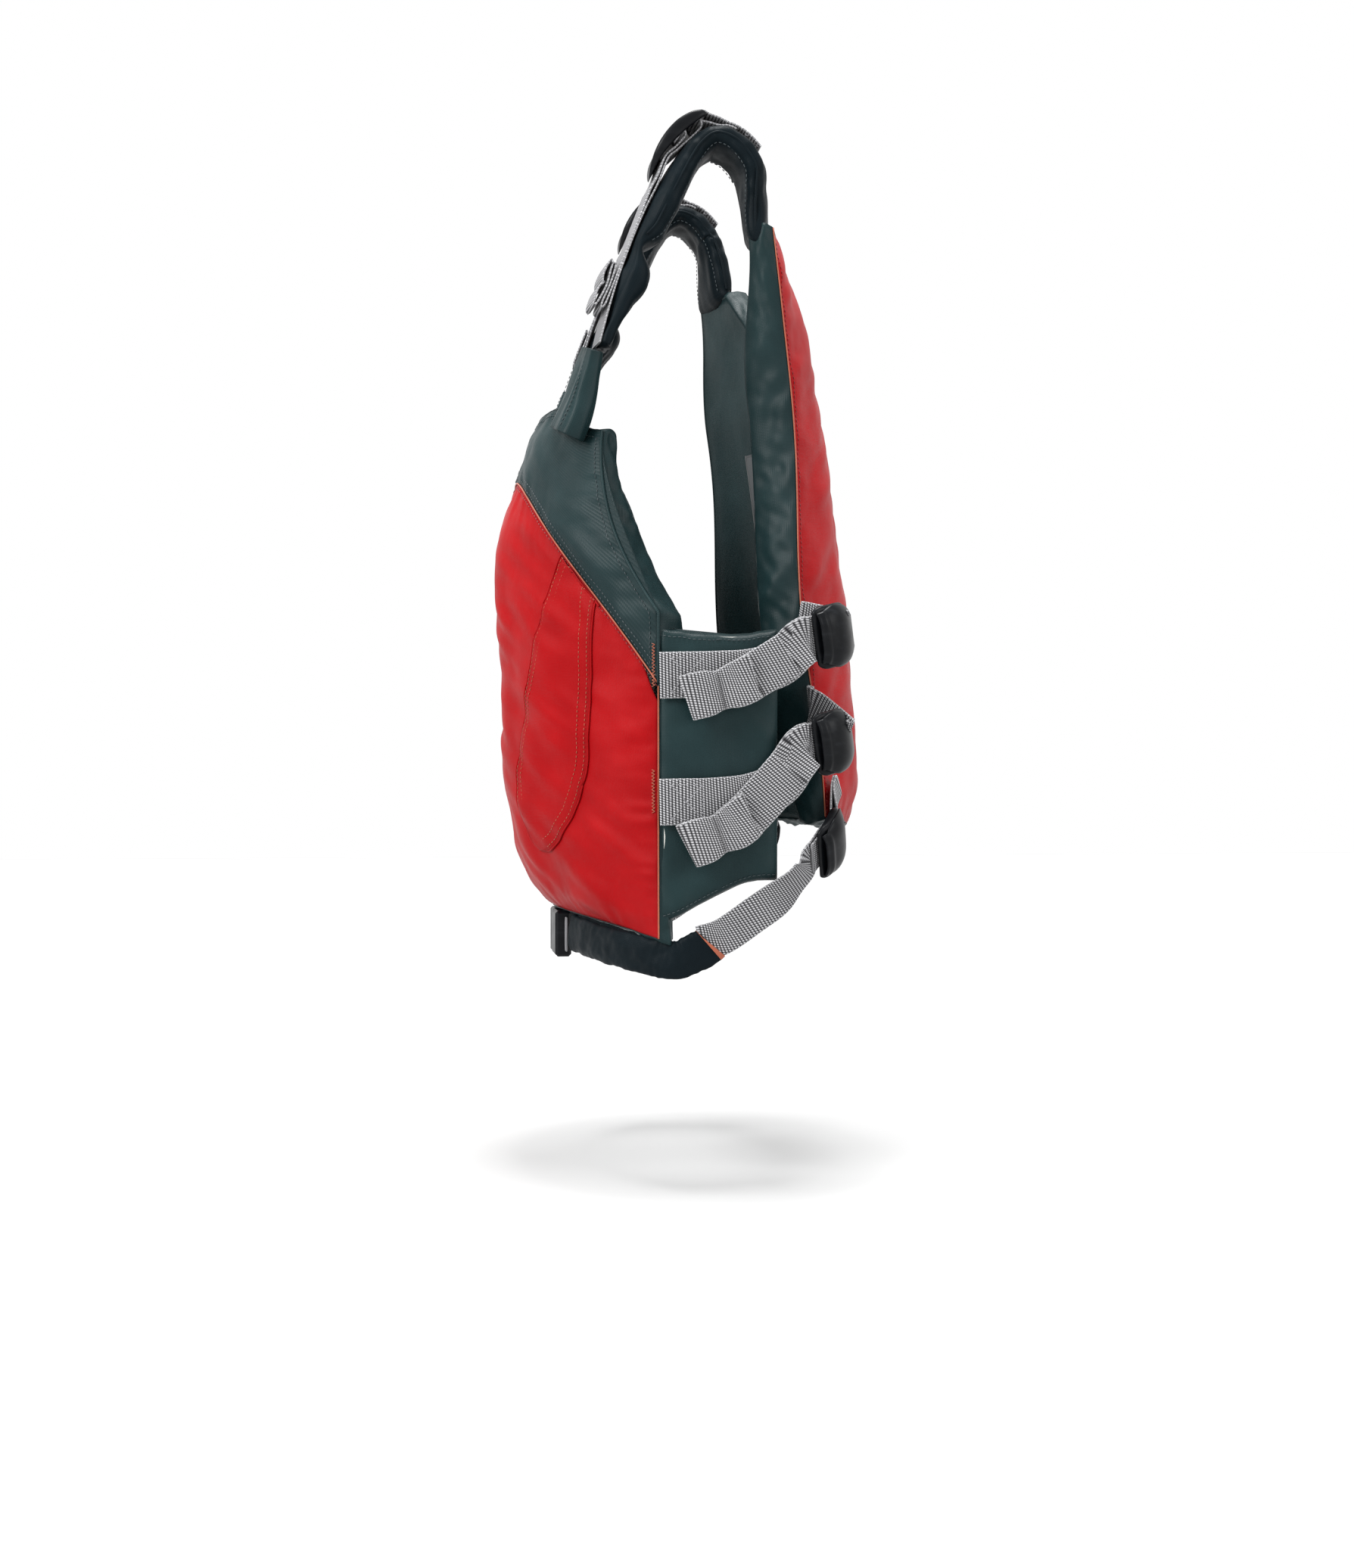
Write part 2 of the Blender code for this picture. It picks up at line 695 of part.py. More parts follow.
def add_clip(jacket):
    """Side-release clip at the front: the male half slides out along -X, its two prongs bend inward.

    The socket is two plates and an end block, open above and below, where the prongs are pinched.
    """
    up, depth = CLIP_HEIGHT / 2.0, CLIP_DEPTH / 2.0
    centre = Vector((0.0, CLIP_Y, CLIP_HEIGHT_UP))
    shell = box_mesh("shell", (0.002, -depth, -up), (0.002 + CLIP_LENGTH, depth, up), bevel=0.002)
    inner_depth = depth - CLIP_WALL
    room = box_mesh("room", (-0.010, -inner_depth, -2.0 * up), (0.026, inner_depth, 2.0 * up))
    slot = box_mesh("slot", (0.030, -0.0030, -0.02), (0.0330, 0.02, 0.02))
    female = cut_and_joined(jacket, "clip_socket", shell, [room, slot])
    jacket.add("clip_socket", female, "black_plastic", Matrix.Translation(centre))

    base = box_mesh("base", (-0.026, -0.0050, -up), (0.0005, 0.0050, up), bevel=0.0015)
    tongue = box_mesh("guide", (-0.004, -0.0025, -0.0028), (0.0220, 0.0025, 0.0028))
    male_slot = box_mesh("slot", (-0.0225, -0.02, -0.0150), (-0.0190, 0.02, 0.0150))
    male = cut_and_joined(jacket, "clip_plug", base, [male_slot], [tongue])
    jacket.add("clip_plug", male, "black_plastic", Matrix.Translation(centre))

    for side, hand, near in ((1.0, "left", 0.0375), (-1.0, "right", 0.0275)):
        web = smooth_path([(near, CLIP_Y, CLIP_HEIGHT_UP), (0.0410, -0.0893, CLIP_HEIGHT_UP), (0.0440, -0.0882, CLIP_HEIGHT_UP)])
        add_web(jacket, f"belt_web_{hand}", web, fixed(Vector((0.2, -1.0, 0.0))), side, 3, 0.025)

    for name, way in (("upper", 1.0), ("lower", -1.0)):
        prong = box_mesh("prong", (0.0, -0.0025, -0.0020), (0.0215, 0.0025, 0.0020), bevel=0.0006)
        hinge = centre + Vector((0.0009, 0.0, way * 0.0113))
        jacket.add(f"clip_prong_{name}", prong, "black_plastic", Matrix.Translation(hinge))


def label_place(u, v, w):
    """Care label sewn inside the back lining."""
    x = mix(-0.060, -0.010, u)
    height = mix(0.300, 0.400, v)
    clear = back_thickness(height) + 0.0008
    return below_face(back_y, 1.0, x, height, mix(clear, clear + 0.0006, w))


def main():
    clear_scene()
    jacket = Jacket()
    front_bar = -BUCKLE_LENGTH + 0.009
    jacket.long_buckle = buckle_mesh(jacket, "long_ladder_lock", front_bar, -BUCKLE_LENGTH - LONG_LIP)
    jacket.short_buckle = buckle_mesh(jacket, "short_ladder_lock", -0.0015, BAR_RADIUS + SHORT_LIP)
    add_front(jacket)
    add_back(jacket)
    for side, hand in ((1.0, "left"), (-1.0, "right")):
        add_pockets_and_tabs(jacket, side, hand)
        add_flap(jacket, side, hand)
        add_shoulder(jacket, side, hand)
        for level in SIDE_STRAPS:
            add_side_strap(jacket, level, side, hand)
        add_belt(jacket, side, hand)
    add_clip(jacket)
    jacket.add("care_label", slab_mesh("care_label", label_place, 4, 4), "label_fabric")


main()
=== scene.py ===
"""The looks of the paddling life jacket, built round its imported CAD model.

+X is the wearer's left, -Y the front and +Z up. Heights are measured from the belt's lowest edge, and
mesh_object() takes HANG_HEIGHT off them, because the frame's origin is midway between the shoulder straps.
Every piece of the right side is the left one's mirror image.
"""

import json
import math

import bpy
from mathutils import Vector, noise
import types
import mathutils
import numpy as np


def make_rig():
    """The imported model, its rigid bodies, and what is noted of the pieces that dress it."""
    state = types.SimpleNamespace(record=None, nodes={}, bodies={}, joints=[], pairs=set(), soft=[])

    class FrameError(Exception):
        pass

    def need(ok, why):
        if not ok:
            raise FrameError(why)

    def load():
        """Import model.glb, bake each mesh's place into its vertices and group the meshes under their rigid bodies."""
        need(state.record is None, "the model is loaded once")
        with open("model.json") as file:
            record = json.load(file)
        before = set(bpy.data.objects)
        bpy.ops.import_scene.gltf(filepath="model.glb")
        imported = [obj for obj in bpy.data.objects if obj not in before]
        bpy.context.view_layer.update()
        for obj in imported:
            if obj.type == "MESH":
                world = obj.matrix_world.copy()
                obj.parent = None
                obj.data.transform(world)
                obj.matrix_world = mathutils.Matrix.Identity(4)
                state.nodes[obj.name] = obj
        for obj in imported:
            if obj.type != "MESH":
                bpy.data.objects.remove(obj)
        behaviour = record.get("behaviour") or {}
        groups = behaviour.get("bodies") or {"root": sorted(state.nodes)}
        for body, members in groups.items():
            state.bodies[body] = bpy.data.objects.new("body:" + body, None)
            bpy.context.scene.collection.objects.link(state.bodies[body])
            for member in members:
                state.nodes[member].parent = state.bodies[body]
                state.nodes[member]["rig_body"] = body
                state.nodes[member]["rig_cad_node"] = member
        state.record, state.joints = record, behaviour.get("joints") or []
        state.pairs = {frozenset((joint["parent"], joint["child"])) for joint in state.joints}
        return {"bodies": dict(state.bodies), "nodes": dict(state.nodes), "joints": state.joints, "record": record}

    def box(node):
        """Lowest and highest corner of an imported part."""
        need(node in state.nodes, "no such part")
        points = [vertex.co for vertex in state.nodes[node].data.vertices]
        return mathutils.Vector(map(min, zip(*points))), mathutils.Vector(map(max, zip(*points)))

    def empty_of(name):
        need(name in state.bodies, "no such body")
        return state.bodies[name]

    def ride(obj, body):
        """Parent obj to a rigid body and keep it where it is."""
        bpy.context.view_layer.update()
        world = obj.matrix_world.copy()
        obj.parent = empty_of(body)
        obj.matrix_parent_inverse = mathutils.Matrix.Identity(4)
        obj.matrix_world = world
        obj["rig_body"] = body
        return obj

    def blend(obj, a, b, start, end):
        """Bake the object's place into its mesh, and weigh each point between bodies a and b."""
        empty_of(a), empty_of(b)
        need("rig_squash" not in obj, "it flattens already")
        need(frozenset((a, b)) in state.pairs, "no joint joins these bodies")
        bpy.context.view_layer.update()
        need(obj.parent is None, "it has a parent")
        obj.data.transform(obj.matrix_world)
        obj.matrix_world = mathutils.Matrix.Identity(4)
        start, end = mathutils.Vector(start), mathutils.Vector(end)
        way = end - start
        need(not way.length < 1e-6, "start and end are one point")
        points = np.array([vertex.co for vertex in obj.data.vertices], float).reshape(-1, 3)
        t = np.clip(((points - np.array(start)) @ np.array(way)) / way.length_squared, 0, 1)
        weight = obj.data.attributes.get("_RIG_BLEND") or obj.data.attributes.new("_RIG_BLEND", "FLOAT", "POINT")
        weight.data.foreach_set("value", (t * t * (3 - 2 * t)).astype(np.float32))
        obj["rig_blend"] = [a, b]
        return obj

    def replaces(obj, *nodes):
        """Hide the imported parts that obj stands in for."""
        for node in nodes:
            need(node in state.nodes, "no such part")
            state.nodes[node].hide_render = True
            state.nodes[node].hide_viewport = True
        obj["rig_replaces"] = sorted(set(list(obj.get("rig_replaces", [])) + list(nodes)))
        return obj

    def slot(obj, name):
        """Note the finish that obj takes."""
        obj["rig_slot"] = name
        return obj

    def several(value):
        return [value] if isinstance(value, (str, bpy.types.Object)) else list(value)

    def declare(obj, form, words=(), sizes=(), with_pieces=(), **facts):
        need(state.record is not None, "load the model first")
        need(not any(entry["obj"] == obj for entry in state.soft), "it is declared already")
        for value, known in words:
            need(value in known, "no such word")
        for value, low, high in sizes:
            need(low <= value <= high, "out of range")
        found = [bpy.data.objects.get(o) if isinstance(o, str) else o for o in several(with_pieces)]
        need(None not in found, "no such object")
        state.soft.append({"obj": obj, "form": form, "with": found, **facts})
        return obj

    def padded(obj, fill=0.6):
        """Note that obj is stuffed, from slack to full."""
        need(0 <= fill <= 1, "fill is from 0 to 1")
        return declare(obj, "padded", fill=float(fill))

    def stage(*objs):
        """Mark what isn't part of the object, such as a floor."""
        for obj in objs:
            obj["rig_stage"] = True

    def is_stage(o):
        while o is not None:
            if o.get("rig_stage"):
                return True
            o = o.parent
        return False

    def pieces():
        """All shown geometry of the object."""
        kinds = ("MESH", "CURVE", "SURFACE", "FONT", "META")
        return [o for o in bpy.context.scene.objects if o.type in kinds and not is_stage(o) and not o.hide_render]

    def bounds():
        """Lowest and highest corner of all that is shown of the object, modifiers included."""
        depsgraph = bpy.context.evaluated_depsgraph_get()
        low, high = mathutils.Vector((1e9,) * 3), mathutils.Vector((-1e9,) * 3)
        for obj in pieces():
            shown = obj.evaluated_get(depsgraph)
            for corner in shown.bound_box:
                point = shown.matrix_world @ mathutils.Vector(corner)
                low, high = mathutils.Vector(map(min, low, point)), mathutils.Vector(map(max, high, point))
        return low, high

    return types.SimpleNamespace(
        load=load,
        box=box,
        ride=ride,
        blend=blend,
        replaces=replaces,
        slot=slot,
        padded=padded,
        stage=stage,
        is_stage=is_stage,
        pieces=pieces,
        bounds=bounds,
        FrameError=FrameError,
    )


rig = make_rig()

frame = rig.load()
CAD_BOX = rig.bounds()

HANG_HEIGHT = 0.590
SIDES = ((1.0, "left"), (-1.0, "right"))

# Front panel
FRONT_HALF = 0.150
SEAM_Y = -0.035
FRONT_FOAM = 0.036
ARMHOLE_BOTTOM = 0.253
ARMHOLE_TOP = 0.395
CHEST_HALF = 0.113
NECK_HEIGHT = 0.410

# Back panel
BACK_HALF = 0.119
BACK_BOTTOM = 0.104
BACK_TOP = 0.530
BACK_FOAM = 0.038
BACK_NECK_DROP = 0.045
BACK_NECK_HALF = 0.066

# Side flaps
FLAP_FACE_X = 0.1525
FLAP_REAR_Y = 0.050
FLAP_THICK = 0.019
FLAP_TOP = 0.2425

# Straps
STRAP_X = 0.097
PAD_WIDTH = 0.052
WEB_WIDTH = 0.032
BELT_WIDTH = 0.025
WEB_THICK = 0.0018
LAYER = WEB_THICK + 0.0005

# Cloth: how deep a seam lies, how far the cloth swells between seams, and how it puckers beside them
CLOTH = 0.0009
SEAM_DIP = 0.0019
SWELL = 0.0036
SWELL_RUN = 0.016
PUCKER = 0.0021
PUCKER_PITCH = 0.013
PUCKER_RUN = 0.014
BROAD_FOLD = 0.0044
FINE_FOLD = 0.0021


# ---------------------------------------------------------------- curves and surfaces


def mix(low, high, share):
    return low + (high - low) * share


def clamp(value):
    return min(max(value, 0.0), 1.0)


def ease(share):
    share = clamp(share)
    return share * share * (3.0 - 2.0 * share)


def fixed(value):
    return lambda share: value


def hermite(t, first, leave, last, arrive):
    """Between two values with a given slope at each, t running 0..1."""
    return (
        first * (2 * t**3 - 3 * t**2 + 1)
        + leave * (t**3 - 2 * t**2 + t)
        + last * (3 * t**2 - 2 * t**3)
        + arrive * (t**3 - t**2)
    )


def smooth_path(points):
    """A function of 0..1 that runs through the points on a Catmull-Rom curve."""
    points = [Vector(point) for point in points]

    def at(share):
        place = clamp(share) * (len(points) - 1)
        i = min(int(place), len(points) - 2)
        t = place - i
        first, last = points[i], points[i + 1]
        before = points[max(i - 1, 0)]
        after = points[min(i + 2, len(points) - 1)]
        return hermite(t, first, (last - before) / 2.0, last, (after - first) / 2.0)

    return at


def even_path(path, samples=200):
    """The same path, run through at an even pace."""
    points = [path(i / samples) for i in range(samples + 1)]
    lengths = running_lengths(points)

    def at(share):
        goal = clamp(share) * lengths[-1]
        low, high = 0, samples
        while high - low > 1:
            middle = (low + high) // 2
            if lengths[middle] > goal:
                high = middle
            else:
                low = middle
        run = max(lengths[high] - lengths[low], 1e-9)
        return path((low + (goal - lengths[low]) / run) / samples)

    at.length = lengths[-1]
    return at


def running_lengths(points):
    lengths = [0.0]
    for before, after in zip(points, points[1:]):
        lengths.append(lengths[-1] + (after - before).length)
    return lengths


def height_curve(knots):
    """A smooth function of height through (height, value) knots, held flat past its ends."""

    def at(height):
        height = min(max(height, knots[0][0]), knots[-1][0])
        i = 0
        while i < len(knots) - 2 and height > knots[i + 1][0]:
            i += 1
        slopes = []
        for k in (i, i + 1):
            low = knots[max(k - 1, 0)]
            high = knots[min(k + 1, len(knots) - 1)]
            slopes.append((high[1] - low[1]) / (high[0] - low[0]))
        (h0, y0), (h1, y1) = knots[i], knots[i + 1]
        run = h1 - h0
        return hermite((height - h0) / run, y0, slopes[0] * run, y1, slopes[1] * run)

    return at


FRONT_CENTRE_Y = height_curve([
    (0.030, -0.084), (0.056, -0.107), (0.098, -0.123), (0.223, -0.133),
    (0.300, -0.1365), (0.363, -0.124), (0.410, -0.107), (0.460, -0.094),
])
BACK_CENTRE_Y = height_curve([
    (0.100, 0.129), (0.141, 0.134), (0.241, 0.128), (0.335, 0.118),
    (0.433, 0.103), (0.485, 0.090), (0.535, 0.070),
])
BACK_EDGE_Y = height_curve([
    (0.100, 0.092), (0.154, 0.088), (0.265, 0.073), (0.479, 0.0586), (0.535, 0.053),
])


def front_y(x, height):
    centre = FRONT_CENTRE_Y(height)
    return centre + (SEAM_Y - centre) * (x / FRONT_HALF) ** 2


def back_y(x, height):
    centre = BACK_CENTRE_Y(height)
    return centre + (BACK_EDGE_Y(height) - centre) * (x / BACK_HALF) ** 2


def face_normal(face, outward, x, height):
    step = 0.002
    slope_x = (face(x + step, height) - face(x - step, height)) / (2 * step)
    slope_h = (face(x, height + step) - face(x, height - step)) / (2 * step)
    return Vector((-slope_x, 1.0, -slope_h)).normalized() * outward


def off_face(face, outward, x, height, lift):
    """The point that stands this far off a face y(x, height) whose outside looks along outward * Y."""
    return Vector((x, face(x, height), height)) + face_normal(face, outward, x, height) * lift


def in_panel(panel, x, height, depth):
    """The point this deep in a panel, behind its plain face."""
    return off_face(panel["face"], panel["outward"], x, height, -depth)


def front_half_width(height):
    above = max(ARMHOLE_TOP - max(height, ARMHOLE_BOTTOM), 0.0)
    share = above / (ARMHOLE_TOP - ARMHOLE_BOTTOM)
    return mix(CHEST_HALF, FRONT_HALF, share**1.8)


def front_bottom(x):
    return 0.042 - 0.62 * x * x


def front_top(x):
    return NECK_HEIGHT - 0.025 * ease((abs(x) - 0.050) / 0.063)


def yoke_seam(x):
    return 0.362 - 7.0 * x * x


def front_thickness(height):
    full = FRONT_FOAM * mix(0.45, 1.0, ease((height - 0.030) / 0.080))
    return full * mix(1.0, 0.56, ease((height - 0.300) / 0.100))


def back_half_width(height):
    return BACK_HALF - 0.008 * math.sin(math.pi * ease((height - 0.250) / 0.280))


def back_bottom(x):
    return BACK_BOTTOM + 0.45 * x * x


def back_top(x):
    return BACK_TOP - BACK_NECK_DROP * max(1.0 - (x / BACK_NECK_HALF) ** 2, 0.0)


def back_thickness(height):
    full = BACK_FOAM * mix(0.60, 1.0, ease((height - BACK_BOTTOM) / 0.060))
    return full * mix(1.0, 0.55, ease((height - 0.420) / 0.110))


FRONT = {"face": front_y, "outward": -1.0, "half": front_half_width, "lower": front_bottom,
         "upper": front_top, "thickness": front_thickness, "seed": 1.0}
RED_FRONT = {**FRONT, "upper": yoke_seam, "seed": 2.0}
YOKE = {**FRONT, "lower": yoke_seam, "seed": 3.0}
BACK = {"face": back_y, "outward": 1.0, "half": back_half_width, "lower": back_bottom,
        "upper": back_top, "thickness": back_thickness, "seed": 4.0}


def panel_place(panel, across, up, margin=0.0):
    """x and height of a place in a panel's outline; across and up run 0..1."""
    low_edge, high_edge = panel["lower"](panel["half"](0.0)), panel["upper"](panel["half"](1.0))
    half = panel["half"](mix(low_edge, high_edge, up)) - margin
    x = (2.0 * across - 1.0) * half
    return x, mix(panel["lower"](x) + margin, panel["upper"](x) - margin, up)


def wrinkle(x, y, seed):
    """Smooth noise from -1 to 1, about one hump per unit."""
    return noise.noise(Vector((x, y, seed * 7.31)))


def soft_min(distances, blend=0.007):
    return -blend * math.log(sum(math.exp(-distance / blend) for distance in distances))


def swell(panel, x, height):
    """How far a panel's cloth stands off its plain face."""
    side = panel["half"](height) - abs(x)
    low = height - panel["lower"](x)
    high = panel["upper"](x) - height
    near = max(soft_min((side, low, high)), 0.0)
    rise = SWELL * (1.0 - math.exp(-near / SWELL_RUN)) - SEAM_DIP
    pucker = 0.0
    for distance, along in ((side, height), (low, x), (high, x)):
        reach = math.exp(-max(distance, 0.0) / PUCKER_RUN)
        pucker += reach * wrinkle(along / PUCKER_PITCH, distance / 0.04, panel["seed"])
        pucker += 0.5 * reach * wrinkle(along / 0.006, distance / 0.02, panel["seed"] + 0.5)
    slant = height + 0.5 * abs(x)
    broad = BROAD_FOLD * wrinkle(x / 0.040, slant / 0.10, panel["seed"] + 1.7)
    fine = FINE_FOLD * wrinkle(abs(x) / 0.030 + slant / 0.05, slant / 0.017, panel["seed"] + 2.9)
    fold = broad * clamp(near / 0.030) + fine * clamp(near / 0.015)
    return rise + PUCKER * pucker * clamp(near / 0.004) + fold


def on_panel(panel, x, height, lift=0.0):
    return off_face(panel["face"], panel["outward"], x, height, swell(panel, x, height) + lift)


# ---------------------------------------------------------------- meshes


def mesh_object(name, points, faces, material, uvs=None, edge=None, side=1.0):
    """A mesh in the row frame. side -1 makes the mirror image."""
    mesh = bpy.data.meshes.new(name)
    points = [(point[0] * side, point[1], point[2] - HANG_HEIGHT) for point in points]
    mesh.from_pydata(points, [], faces)
    if uvs:
        layer = mesh.uv_layers.new(name="UVMap")
        layer.data.foreach_set("uv", [value for pair in uvs for value in pair])
    if edge:
        mesh.attributes.new("edge", "FLOAT", "POINT").data.foreach_set("value", edge)
    if side < 0.0:
        mesh.flip_normals()
    mesh.shade_smooth()
    mesh.materials.append(material)
    made = bpy.data.objects.new(name, mesh)
    bpy.context.scene.collection.objects.link(made)
    return made


def grid_object(name, at, columns, rows, material, side=1.0, wrap=False, flip=False, edge=None):
    """The surface at(u, v). Its UVs are metres along the middle row and column, and its edge attribute is 1
    on its rim and falls away from it. A wrapped one closes on itself across u, with flat ends."""
    count = columns if wrap else columns + 1
    grid = [[at(i / columns, j / rows) for i in range(columns + 1)] for j in range(rows + 1)]
    across = running_lengths(grid[rows // 2])
    along = running_lengths([row[columns // 2] for row in grid])
    faces, uvs = [], []
    for j in range(rows):
        for i in range(columns):
            corners = [(i, j), (i + 1, j), (i + 1, j + 1), (i, j + 1)]
            if flip:
                corners.reverse()
            faces.append([b * count + a % count for a, b in corners])
            uvs += [(across[a], along[b]) for a, b in corners]
    if wrap:
        ends = [list(range(count)), [rows * count + i for i in range(count)]]
        ends[0 if not flip else 1].reverse()
        faces += ends
        uvs += [(0.0, 0.0)] * (2 * count)
    values = []
    for j in range(rows + 1):
        for i in range(count):
            if edge:
                values.append(edge(i / columns, j / rows))
            else:
                rim = min(along[j], along[-1] - along[j])
                if not wrap:
                    rim = min(rim, across[i], across[-1] - across[i])
                values.append(math.exp(-rim / 0.006))
    points = [row[i] for row in grid for i in range(count)]
    return mesh_object(name, points, faces, material, uvs, values, side)


def solid(obj, thickness=CLOTH):
    """Gives an open sheet its thickness, on its inner side."""
    modifier = obj.modifiers.new("thickness", "SOLIDIFY")
    modifier.thickness = thickness
    modifier.offset = -1.0
    return obj


def section_frame(path, across, v):
    """Across and outward directions of a strip at v."""
    step = 0.004
    tangent = (path(min(v + step, 1.0)) - path(max(v - step, 0.0))).normalized()
    wide = across(v)
    wide = (wide - tangent * wide.dot(tangent)).normalized()
    return wide, wide.cross(tangent).normalized()


def superellipse(u, power):
    """A point on a rounded rectangle of half size 1; u runs once round from its first edge."""
    turn = 2.0 * math.pi * u
    x, y = math.cos(turn), math.sin(turn)
    return math.copysign(abs(x) ** (2.0 / power), x), math.copysign(abs(y) ** (2.0 / power), y)


def swept(path, across, half_width, half_thick, power=2.5, ripple=None):
    """at(u, v) for a strip of rounded section along path(v). ripple(x, y, v) stands it off, in metres."""

    def at(u, v):
        wide, out = section_frame(path, across, v)
        x, y = superellipse(u, power)
        extra = ripple(x, y, v) if ripple else 0.0
        return path(v) + wide * x * (half_width(v) + extra) + out * y * (half_thick(v) + extra)

    return at


def ribbon(name, points, across, width, rows, side=1.0, pinch=None):
    """Flat webbing along the points, drawn in round pinch. Its edge attribute marks the two selvedges."""
    path = even_path(smooth_path(points))

    def half_width(v):
        if pinch is None:
            return width / 2.0
        near = (path(v) - pinch).length / 0.008
        return width / 2.0 * (1.0 - 0.16 * math.exp(-near * near))

    at = swept(path, across, half_width, fixed(WEB_THICK / 2.0), power=5.0)

    def selvedge(u, v):
        return 1.0 if abs(superellipse(u, 5.0)[0]) > 0.93 else 0.0

    return grid_object(name, at, 32, rows, WEBBING, side, wrap=True, edge=selvedge)


def tube(name, path, radius, material, rows, side=1.0):
    at = swept(path, fixed(Vector((0.31, 0.23, 0.92))), fixed(radius), fixed(radius), power=2.0)
    return grid_object(name, at, 8, rows, material, side, wrap=True)


def stitches(name, paths, material, side=1.0, pitch=0.0034, share=0.68, radius=0.00033):
    """Rows of thread stitches, each a short spindle, as one mesh."""
    points, faces = [], []
    for path in paths:
        path = even_path(path)
        count = max(int(path.length / pitch), 1)
        for k in range(count):
            first = path((k + 0.5 - share / 2.0) / count)
            last = path((k + 0.5 + share / 2.0) / count)
            run = (last - first).normalized()
            one = run.orthogonal().normalized() * radius
            two = run.cross(one)
            middle = (first + last) / 2.0
            base = len(points)
            points += [first, last]
            for centre in (first.lerp(middle, 0.35), last.lerp(middle, 0.35)):
                points += [centre + one, centre + two, centre - one, centre - two]
            for a in range(4):
                b = (a + 1) % 4
                faces.append([base, base + 2 + b, base + 2 + a])
                faces.append([base + 1, base + 6 + a, base + 6 + b])
                faces.append([base + 2 + a, base + 2 + b, base + 6 + b, base + 6 + a])
    return mesh_object(name, points, faces, material, side=side)


def zigzag(start, end, out, width, turns):
    """A dense zigzag from start to end, width wide: a bartack."""
    run = end - start
    sideways = run.cross(out).normalized() * width / 2.0
    points = [start.lerp(end, i / turns) + sideways * (1 if i % 2 else -1) for i in range(turns + 1)]

    def at(share):
        place = clamp(share) * turns
        i = min(int(place), turns - 1)
        return points[i].lerp(points[i + 1], place - i)

    return at


# Which of the record's materials each material here shows
SLOTS = {
    "red_nylon_cloth": "red_nylon", "red_thread": "red_nylon", "amber_thread": "red_nylon",
    "slate_nylon_cloth": "slate_nylon", "dark_nylon_cloth": "slate_nylon", "slate_thread": "slate_nylon",
    "grey_webbing_weave": "grey_webbing", "grey_thread": "grey_webbing", "black_acetal": "black_plastic",
    "closed_cell_foam": "foam", "blank_label": "label_fabric",
}


def put(obj, body, *nodes, fill=None):
    """Hands a finished piece to the frame. fill is how full a padded one is."""
    if fill:
        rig.padded(obj, fill=fill)
    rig.ride(obj, body)
    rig.slot(obj, SLOTS[obj.data.materials[0].name])
    if nodes:
        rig.replaces(obj, *nodes)


def sew(name, rows, material, side=1.0, body="root", **thread_size):
    put(stitches(name, rows, material, side, **thread_size), body)


def bridge(web, side, node, far_body, near, far):
    """Webbing that bends between the jacket and a buckle, from the place near to the place far."""
    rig.slot(web, "grey_webbing")
    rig.replaces(web, node)
    ends = [Vector((p.x * side, p.y, p.z - HANG_HEIGHT)) for p in (near, far)]
    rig.blend(web, "root", far_body, *ends)


# ---------------------------------------------------------------- materials


